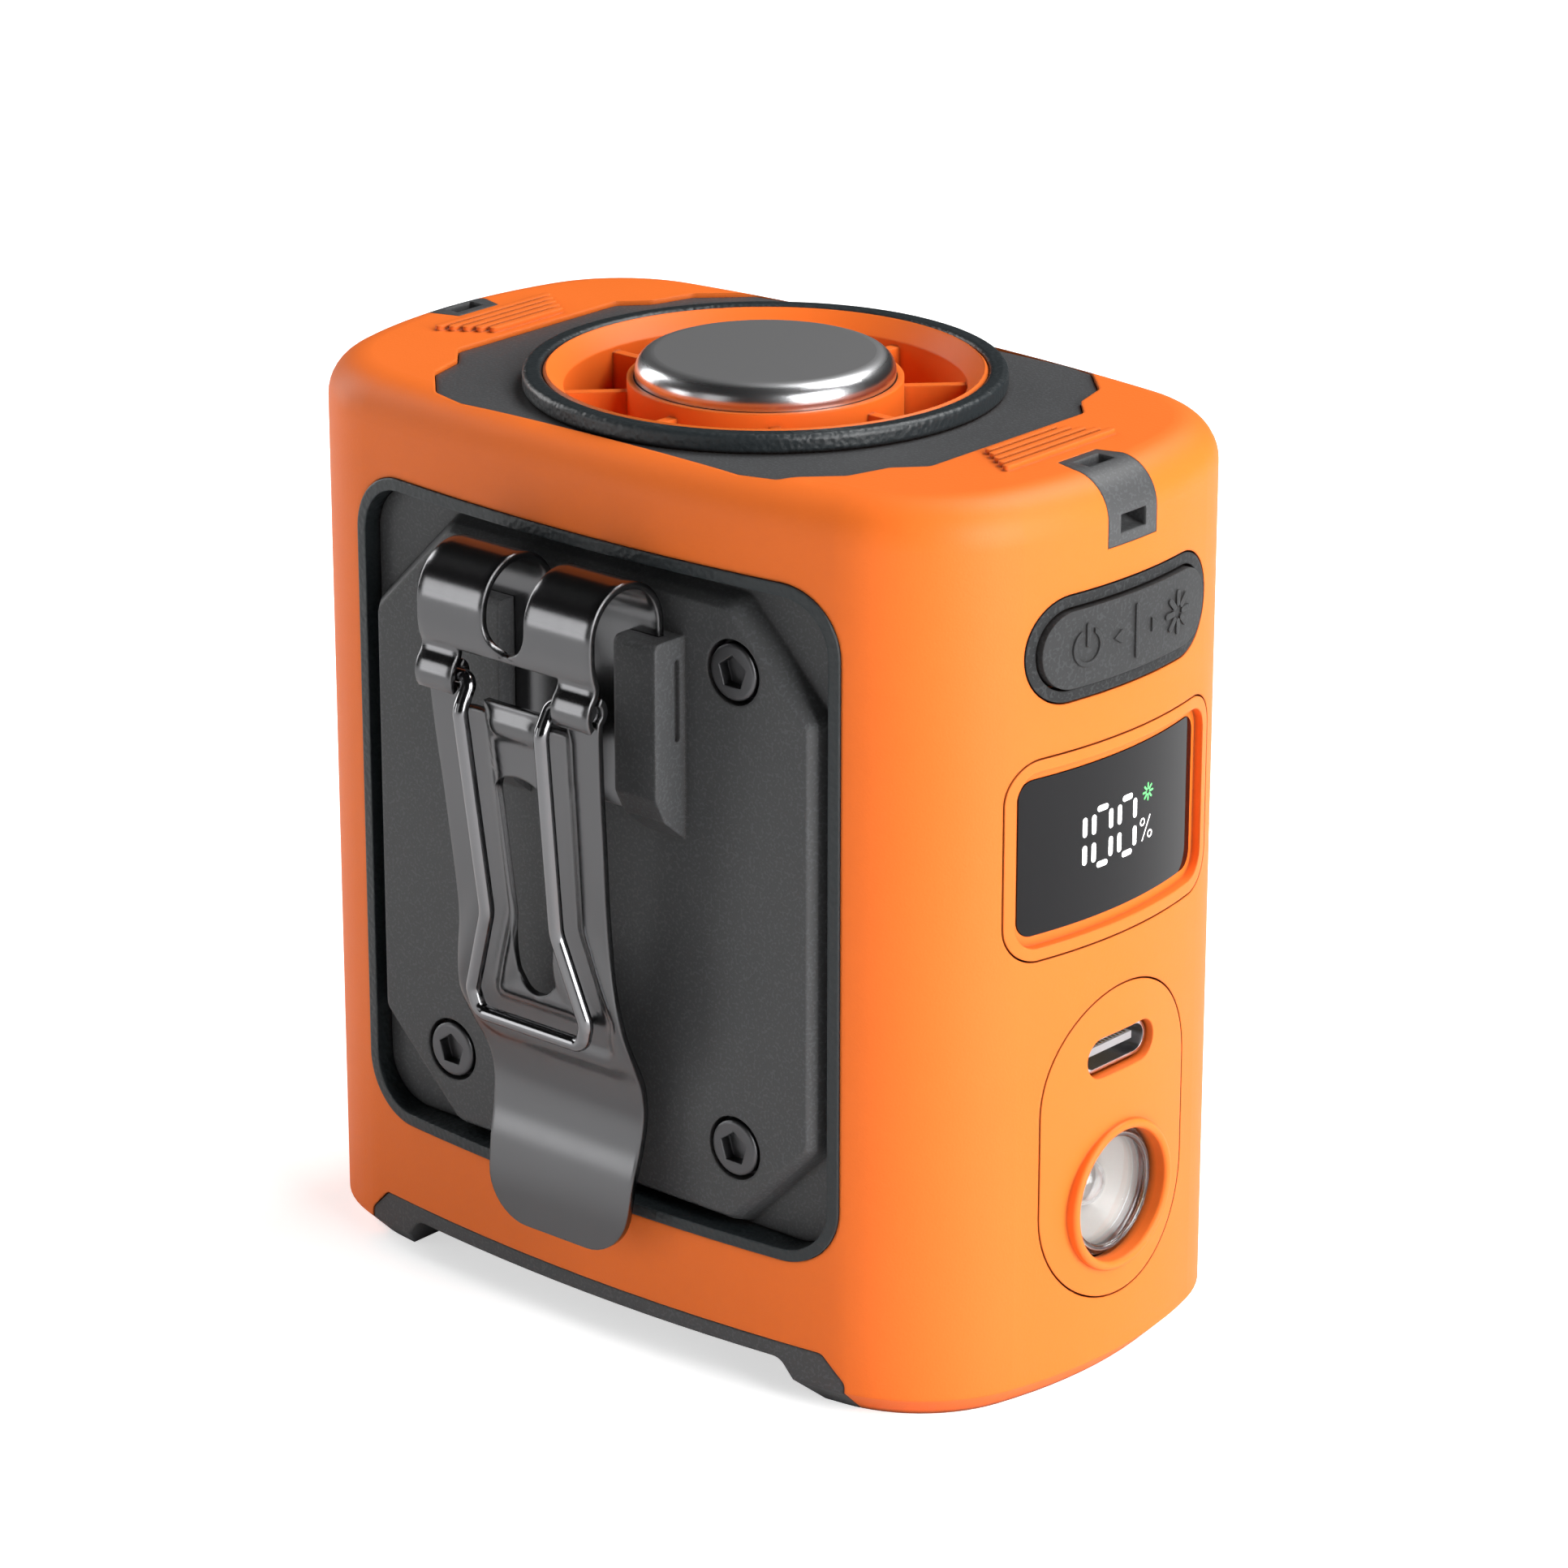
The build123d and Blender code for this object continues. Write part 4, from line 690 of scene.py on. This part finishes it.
# ------------------------------------------------------------------ lever of the clip
# Millimetres. A side view lists (height, y) and a front view lists (height, half width).
SHEET = 0.7
SHEET_EDGE = 0.14
MERGE_DISTANCE = 0.005
EMPTY_AREA = 1e-12
SHARP_ANGLE = 50
PIN_Y, PIN_Z = -33.7, 64.6
KNUCKLE_RADIUS = 1.13
KNUCKLE_TURN = 62
KNUCKLE_START = 62.9
WIRE_LEG = [(4.85, 62.0), (4.2, 42.6), (6.9, 34.4), (6.3, 32.2)]
LEVER_SIDE = [
    (62.2, -33.22), (58.0, -32.85), (53.0, -32.3), (47.0, -31.7), (41.0, -31.1), (36.5, -30.7),
    (33.2, -30.1), (30.2, -28.9), (27.4, -27.5), (24.6, -26.9), (21.5, -27.2), (18.0, -28.0),
    (14.5, -28.5), (10.8, -28.7),
]
LEVER_HALF = [
    (67.0, 10.0), (62.5, 10.0), (53.0, 9.5), (41.0, 9.1), (33.5, 9.9), (29.5, 9.8),
    (26.0, 9.3), (18.0, 8.7), (10.8, 8.2),
]
SLOT_TOP, SLOT_TOP_RISE, SLOT_TOP_HALF = 54.2, 2.1, 3.2
SLOT_LOW, SLOT_LOW_HALF = 37.4, 2.3
TIP_ROUND = 4.5
TIP_LOW = 10.8
KNUCKLE_LOW = 61.6
CENTRE_TOP = 62.7
BAND_BLEND_LOW = 52.0
BLADE_SAMPLE_Z = 40.0
NEAR = 0.01
KNUCKLE_ROWS, LIP_ROWS, NECK_ROWS = 8, 3, 14
SLOT_END_ROWS, SLOT_ROWS, BLADE_ROWS, TIP_ROWS = 8, 34, 44, 10
LEVER_BAND_STEPS = (5, 9, 9)
KNUCKLE_CUTS = (3.55, 6.45)
SLOT_CLOSING = 6.0
TRACK_DEPTH, TRACK_FLAT, TRACK_EDGE = 0.55, 0.7, 2.3
TRACK_FADE_LOW, TRACK_FADE_HIGH = 61.0, 63.0
BEAD_RISE, BEAD_HALF, BEAD_Z, BEAD_FLAT, BEAD_EDGE = 0.45, 2.2, 60.9, 0.3, 1.5
SWELL_RISE, SWELL_AWAY, SWELL_WIDTH = 0.25, 2.6, 1.6
SWELL_FADE_LOW, SWELL_FADE_HIGH = 38.0, 46.0


def smooth_step(low, high, value):
    """0 below low, 1 above high and an even turn between them."""
    share = min(max((value - low) / (high - low), 0.0), 1.0)
    return share * share * (3 - 2 * share)


def curve_value(points, z):
    """Value at a height on a smooth curve through (height, value) points, listed from the top down."""
    if z >= points[0][0]:
        return points[0][1]
    for i in range(len(points) - 1):
        (z0, v0), (z1, v1) = points[i], points[i + 1]
        if z >= z1:
            before = points[max(i - 1, 0)]
            after = points[min(i + 2, len(points) - 1)]
            slope0 = (v1 - before[1]) / (z1 - before[0])
            slope1 = (after[1] - v0) / (after[0] - z0)
            t = (z - z0) / (z1 - z0)
            run = z1 - z0
            return (
                (2 * t**3 - 3 * t**2 + 1) * v0
                + (t**3 - 2 * t**2 + t) * run * slope0
                + (-2 * t**3 + 3 * t**2) * v1
                + (t**3 - t**2) * run * slope1
            )
    return points[-1][1]


def slot_half(z):
    """Half width of the lever's central band: the slot where there is one."""
    top = SLOT_TOP + SLOT_TOP_RISE
    low = SLOT_LOW - SLOT_LOW_HALF
    if z >= top:
        return KNUCKLE_CUTS[0] * min((z - top) / (KNUCKLE_LOW - top), 1.0)
    if z >= SLOT_TOP:
        return SLOT_TOP_HALF * math.sqrt(1 - ((z - SLOT_TOP) / SLOT_TOP_RISE) ** 2)
    if z >= SLOT_LOW:
        return SLOT_LOW_HALF + (SLOT_TOP_HALF - SLOT_LOW_HALF) * (z - SLOT_LOW) / (SLOT_TOP - SLOT_LOW)
    if z >= low:
        return math.sqrt(max(SLOT_LOW_HALF**2 - (SLOT_LOW - z) ** 2, 0.0))
    return SLOT_TOP_HALF * min((low - z) / SLOT_CLOSING, 1.0)


def lever_half(z):
    """Half width of the lever, rounded at its tip."""
    half = curve_value(LEVER_HALF, z)
    sink = TIP_LOW + TIP_ROUND - z
    if sink > 0:
        half = half - TIP_ROUND + math.sqrt(max(TIP_ROUND**2 - sink**2, 0.0))
    return half


def distance_to_wire(x, z):
    """Distance in the front view from a place to the middle of the wire."""
    line = WIRE_LEG + [(-WIRE_LEG[-1][0], WIRE_LEG[-1][1])]
    best = math.inf
    for (x0, z0), (x1, z1) in zip(line, line[1:]):
        run = (x1 - x0) ** 2 + (z1 - z0) ** 2
        t = min(max(((abs(x) - x0) * (x1 - x0) + (z - z0) * (z1 - z0)) / run, 0.0), 1.0)
        best = min(best, math.hypot(abs(x) - x0 - t * (x1 - x0), z - z0 - t * (z1 - z0)))
    return best


def stamping(x, z):
    """How far the sheet is pressed out towards -Y: a track under the wire, a swell beside it and a bead."""
    gap = distance_to_wire(x, z)
    track_fade = 1 - smooth_step(TRACK_FADE_LOW, TRACK_FADE_HIGH, z)
    track = -TRACK_DEPTH * (1 - smooth_step(TRACK_FLAT, TRACK_EDGE, gap)) * track_fade
    bead_away = math.hypot(max(abs(x) - BEAD_HALF, 0.0), z - BEAD_Z)
    bead = BEAD_RISE * (1 - smooth_step(BEAD_FLAT, BEAD_EDGE, bead_away))
    swell_fade = 1 - smooth_step(SWELL_FADE_LOW, SWELL_FADE_HIGH, z)
    swell = SWELL_RISE * (1 - smooth_step(0.0, SWELL_WIDTH, abs(gap - SWELL_AWAY))) * swell_fade
    return track + bead + swell


def lever_rows():
    """(y, z) places down the lever's side view, closer together near the ends of the slot."""
    rows = []
    for i in range(KNUCKLE_ROWS + 1):
        angle = math.radians(KNUCKLE_TURN - 2 * KNUCKLE_TURN * i / KNUCKLE_ROWS)
        y = PIN_Y + KNUCKLE_RADIUS * math.cos(angle)
        rows.append((y, PIN_Z + KNUCKLE_RADIUS * math.sin(angle)))
    top = SLOT_TOP + SLOT_TOP_RISE
    low = SLOT_LOW - SLOT_LOW_HALF
    spans = [(KNUCKLE_START, KNUCKLE_LOW, LIP_ROWS), (KNUCKLE_LOW, top, NECK_ROWS)]
    heights = [z0 + (z1 - z0) * i / count for z0, z1, count in spans for i in range(count)]
    end_turns = [math.radians(90 * i / SLOT_END_ROWS) for i in range(SLOT_END_ROWS + 1)]
    heights += [SLOT_TOP + SLOT_TOP_RISE * math.cos(turn) for turn in end_turns[:-1]]
    heights += [SLOT_TOP + (SLOT_LOW - SLOT_TOP) * i / SLOT_ROWS for i in range(SLOT_ROWS)]
    heights += [SLOT_LOW - SLOT_LOW_HALF * math.sin(turn) for turn in end_turns]
    tip = TIP_LOW + TIP_ROUND
    heights += [low + (tip - low) * i / BLADE_ROWS for i in range(1, BLADE_ROWS + 1)]
    tip_turns = [math.radians(90 * i / TIP_ROWS) for i in range(1, TIP_ROWS + 1)]
    heights += [tip - TIP_ROUND * math.sin(turn) for turn in tip_turns]
    return rows + [(curve_value(LEVER_SIDE, z), z) for z in heights]


def lever_columns(z):
    """Places across the right half of the lever at a height, with the band that each starts."""
    inner = slot_half(z)
    outer = lever_half(z)
    if z > KNUCKLE_LOW - NEAR:
        middle = KNUCKLE_CUTS[1]
    else:
        share = smooth_step(BAND_BLEND_LOW, KNUCKLE_LOW, z)
        middle = share * KNUCKLE_CUTS[1] + (1 - share) * (inner + 0.5 * (outer - inner))
    edges = (0.0, inner, middle, outer)
    places = [
        (edges[band] + (edges[band + 1] - edges[band]) * i / steps, band)
        for band, steps in enumerate(LEVER_BAND_STEPS)
        for i in range(steps)
    ]
    return places + [(outer, len(LEVER_BAND_STEPS))]


def is_open(z, band):
    """Whether the lever has a hole in a band at a height."""
    if z > KNUCKLE_LOW:
        return band == 1 or (band == 0 and z > CENTRE_TOP)
    return band == 0 and SLOT_LOW - SLOT_LOW_HALF < z < SLOT_TOP + SLOT_TOP_RISE


def finish_sheet(mesh, name, thickness, edge):
    """Give an open surface its thickness and rounded edges, and return the finished mesh."""
    bmesh.ops.remove_doubles(mesh, verts=mesh.verts, dist=MERGE_DISTANCE * MM)
    empty = [f for f in mesh.faces if f.calc_area() < EMPTY_AREA]
    bmesh.ops.delete(mesh, geom=empty, context="FACES")
    bmesh.ops.recalc_face_normals(mesh, faces=mesh.faces)
    data = bpy.data.meshes.new(name)
    mesh.to_mesh(data)
    mesh.free()
    draft = bpy.data.objects.new(name + "_draft", data)
    bpy.context.scene.collection.objects.link(draft)
    solid = draft.modifiers.new("thickness", "SOLIDIFY")
    solid.thickness = thickness
    solid.offset = 0.0
    rounding = draft.modifiers.new("edges", "BEVEL")
    rounding.width = edge
    rounding.segments = 2
    rounding.limit_method = "ANGLE"
    rounding.angle_limit = math.radians(SHARP_ANGLE)
    seen = draft.evaluated_get(bpy.context.evaluated_depsgraph_get())
    final = bpy.data.meshes.new_from_object(seen)
    bpy.data.objects.remove(draft)
    final.name = name
    for face in final.polygons:
        face.use_smooth = True
    return final


def build_lever():
    """Stamped lever with its knuckles, slot, wire track and bead."""
    rows = lever_rows()
    mesh = bmesh.new()
    grid = []
    for y, z in rows:
        right = lever_columns(z)
        across = [(-x, band) for x, band in right[:0:-1]] + right
        line = []
        for x, _ in across:
            line.append(mesh.verts.new((x * MM, (y - stamping(x, z)) * MM, z * MM)))
        grid.append(line)
    bands = [band for _, band in lever_columns(BLADE_SAMPLE_Z)]
    cells = [min(a, b) for a, b in zip(bands[:0:-1], bands[-2::-1])] + bands[:-1]
    for i in range(len(rows) - 1):
        z = (rows[i][1] + rows[i + 1][1]) / 2
        for j, band in enumerate(cells):
            if not is_open(z, band):
                mesh.faces.new((grid[i][j], grid[i + 1][j], grid[i + 1][j + 1], grid[i][j + 1]))
    return finish_sheet(mesh, "stamped_lever", SHEET * MM, SHEET_EDGE * MM)


lever = new_piece("stamped_lever", build_lever(), finishes["clip_steel"], "lever")
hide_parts("clip_lever")

# ------------------------------------------------------------------ spring part of the clip
CLIP_HALF = 10.3
CLIP_BACK = 25.6
CLIP_TAIL = 53.0
CURL_Z, CURL_RADIUS = 71.0, 4.4
BACK_ROWS, GAP_ROWS = 10, 8
CURL_STEPS, TAB_STEPS, BAND_STEPS = 40, 6, 5
ROW_GAP = 0.02
GAP_HALF, GAP_LOW = 2.5, 68.0
WINDOW_HALF, WINDOW_TOP = 6.0, 67.2
CLIP_FRONT = CLIP_BACK + 2 * CURL_RADIUS
TAB_SIDE = [
    (-CLIP_FRONT, CURL_Z), (-CLIP_FRONT, 69.4), (-34.2, 68.1), (-33.88, 67.1), (-34.05, 66.3),
    (-34.6, 65.5), (-34.86, 64.6), (-34.75, 63.8), (-34.45, 63.25),
]


def spring_rows():
    """(y, z, front) places along the strip: up the back, over the curl, down to the rolled tabs."""
    heights = [CLIP_TAIL + (GAP_LOW - CLIP_TAIL) * i / BACK_ROWS for i in range(BACK_ROWS + 1)]
    gap_turns = [math.radians(90 * i / GAP_ROWS) for i in range(1, GAP_ROWS + 1)]
    heights += [GAP_LOW + GAP_HALF * (1 - math.cos(turn)) for turn in gap_turns]
    rows = [(-CLIP_BACK, z, False) for z in heights]
    for i in range(CURL_STEPS + 1):
        angle = math.radians(180 * i / CURL_STEPS)
        y = -CLIP_BACK - CURL_RADIUS * (1 - math.cos(angle))
        rows.append((y, CURL_Z + CURL_RADIUS * math.sin(angle), True))
    span = len(TAB_SIDE) - 1
    for i in range(1, TAB_STEPS * span + 1):
        step, t = divmod(i, TAB_STEPS)
        step, t = (step, t / TAB_STEPS) if step < span else (span - 1, 1.0)
        quad = [TAB_SIDE[min(max(step + k, 0), span)] for k in (-1, 0, 1, 2)]
        y, z = (
            0.5 * (2 * b + (c - a) * t + (2 * a - 5 * b + 4 * c - d) * t**2 + (3 * b - a - 3 * c + d) * t**3)
            for a, b, c, d in zip(*quad)
        )
        rows.append((y, z, True))
    return [row for i, row in enumerate(rows) if i == 0 or math.dist(row[:2], rows[i - 1][:2]) > ROW_GAP]


def gap_half(z):
    """Half width of the gap between the two curls at a height."""
    if z >= GAP_LOW + GAP_HALF:
        return GAP_HALF
    if z >= GAP_LOW:
        return math.sqrt(max(GAP_HALF**2 - (GAP_LOW + GAP_HALF - z) ** 2, 0.0))
    return GAP_HALF * min((GAP_LOW - z) / (GAP_LOW - WINDOW_TOP), 1.0)


def build_spring():
    """Spring strip with two curls, a window and two rolled tabs."""
    rows = spring_rows()
    mesh = bmesh.new()
    grid = []
    for y, z, _ in rows:
        bands = [(0.0, gap_half(z)), (gap_half(z), WINDOW_HALF), (WINDOW_HALF, CLIP_HALF)]
        right = [low + (high - low) * i / BAND_STEPS for low, high in bands for i in range(BAND_STEPS)]
        right.append(CLIP_HALF)
        across = [-x for x in right[:0:-1]] + right
        grid.append([mesh.verts.new((x * MM, y * MM, z * MM)) for x in across])
    count = len(grid[0])
    for i in range(len(rows) - 1):
        z = (rows[i][1] + rows[i + 1][1]) / 2
        front = rows[i][2]
        for j in range(count - 1):
            band = int(abs(j + 0.5 - (count - 1) / 2) // BAND_STEPS)
            in_gap = band == 0 and z > GAP_LOW
            in_window = band < 2 and front and z < WINDOW_TOP
            if not in_gap and not in_window:
                mesh.faces.new((grid[i][j], grid[i + 1][j], grid[i + 1][j + 1], grid[i][j + 1]))
    return finish_sheet(mesh, "curled_spring", SHEET * MM, SHEET_EDGE * MM)


spring = new_piece("curled_spring", build_spring(), finishes["clip_steel"], "body")
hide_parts("clip_spring")

# ------------------------------------------------------------------ torch and socket details
TORCH_Z = 17.6
TURN_STEPS = 64
AXIS_RADIUS = 0.001
RIM_SINK, RIM_RADIUS, RIM_PROUD, RIM_HALF = 0.05, 5.35, 0.28, 0.32
RIM_ROOT = 0.15
DOME_X = 36.75
DOME_OUTER, DOME_INNER = (1.9, 2.3), (1.6, 2.0)


def turned_piece(name, profile, finish):
    """Body of revolution about the torch's axis from a closed (x, radius) profile in millimetres."""
    mesh = bmesh.new()
    rings = []
    for x, radius in profile:
        if radius < AXIS_RADIUS:
            rings.append([mesh.verts.new((x * MM, 0, TORCH_Z * MM))] * TURN_STEPS)
            continue
        ring = []
        for i in range(TURN_STEPS):
            angle = 2 * math.pi * i / TURN_STEPS
            z = (TORCH_Z + radius * math.sin(angle)) * MM
            ring.append(mesh.verts.new((x * MM, radius * math.cos(angle) * MM, z)))
        rings.append(ring)
    for i in range(len(profile)):
        first, second = rings[i], rings[(i + 1) % len(profile)]
        for j in range(TURN_STEPS):
            k = (j + 1) % TURN_STEPS
            corners = list(dict.fromkeys((first[j], first[k], second[k], second[j])))
            if len(corners) > 2:
                mesh.faces.new(corners)
    bmesh.ops.recalc_face_normals(mesh, faces=mesh.faces)
    data = bpy.data.meshes.new(name)
    mesh.to_mesh(data)
    mesh.free()
    for face in data.polygons:
        face.use_smooth = True
    return new_piece(name, data, finish, "body")


lens_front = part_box("torch_lens")[1].x / MM
rim = []
for degrees in range(0, 181, 20):
    angle = math.radians(degrees)
    x = lens_front - RIM_SINK + RIM_PROUD * math.sin(angle)
    rim.append((x, RIM_RADIUS + RIM_HALF * math.cos(angle)))
rim += [(lens_front - RIM_ROOT, RIM_RADIUS + side * RIM_HALF) for side in (-1, 1)]
turned_piece("torch_rim_bead", rim, finishes["clear_lens"])


def dome_arc(size, angles):
    """Quarter of an oval of a (depth, radius) size about the torch's axis."""
    depth, radius = size
    return [
        (DOME_X + depth * math.sin(math.radians(a)), radius * math.cos(math.radians(a))) for a in angles
    ]


dome = dome_arc(DOME_OUTER, range(0, 91, 9)) + dome_arc(DOME_INNER, range(90, -1, -9))
turned_piece("torch_inner_dome", dome, finishes["clear_lens"])

tongue_low, tongue_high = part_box("usb_tongue")
gold = metal(
    "gold_flash", (0.9, 0.62, 0.22, 1), (0.95, 0.7, 0.3, 1), 0.25, 0.05,
    (200.0, 3000.0, 3000.0), 0.0005 * MM, 0.03 * MM,
)
CONTACTS = 12
CONTACT_PITCH = 0.5
CONTACT_HALF = 0.12
CONTACT_NEAR, CONTACT_FAR = 0.25, 3.2
CONTACT_LOW, CONTACT_HIGH = 0.34, 0.37
CONTACT_CORNERS = (
    (CONTACT_FAR, -CONTACT_HALF), (CONTACT_NEAR, -CONTACT_HALF),
    (CONTACT_NEAR, CONTACT_HALF), (CONTACT_FAR, CONTACT_HALF),
)
BOX_FACES = ((0, 1, 2, 3), (7, 6, 5, 4), (0, 4, 5, 1), (1, 5, 6, 2), (2, 6, 7, 3), (3, 7, 4, 0))
contacts = bmesh.new()
usb_z = (tongue_low.z + tongue_high.z) / 2
for side in (-1, 1):
    for i in range(CONTACTS):
        y = (i - (CONTACTS - 1) / 2) * CONTACT_PITCH * MM
        corners = [
            (tongue_high.x - back * MM, y + across * MM, usb_z + side * up * MM)
            for up in (CONTACT_LOW, CONTACT_HIGH)
            for back, across in CONTACT_CORNERS
        ]
        v = [contacts.verts.new(c) for c in corners]
        for face in BOX_FACES:
            contacts.faces.new([v[k] for k in face])
bmesh.ops.recalc_face_normals(contacts, faces=contacts.faces)
contact_mesh = bpy.data.meshes.new("socket_contacts")
contacts.to_mesh(contact_mesh)
contacts.free()
new_piece("socket_contacts", contact_mesh, gold, "body")
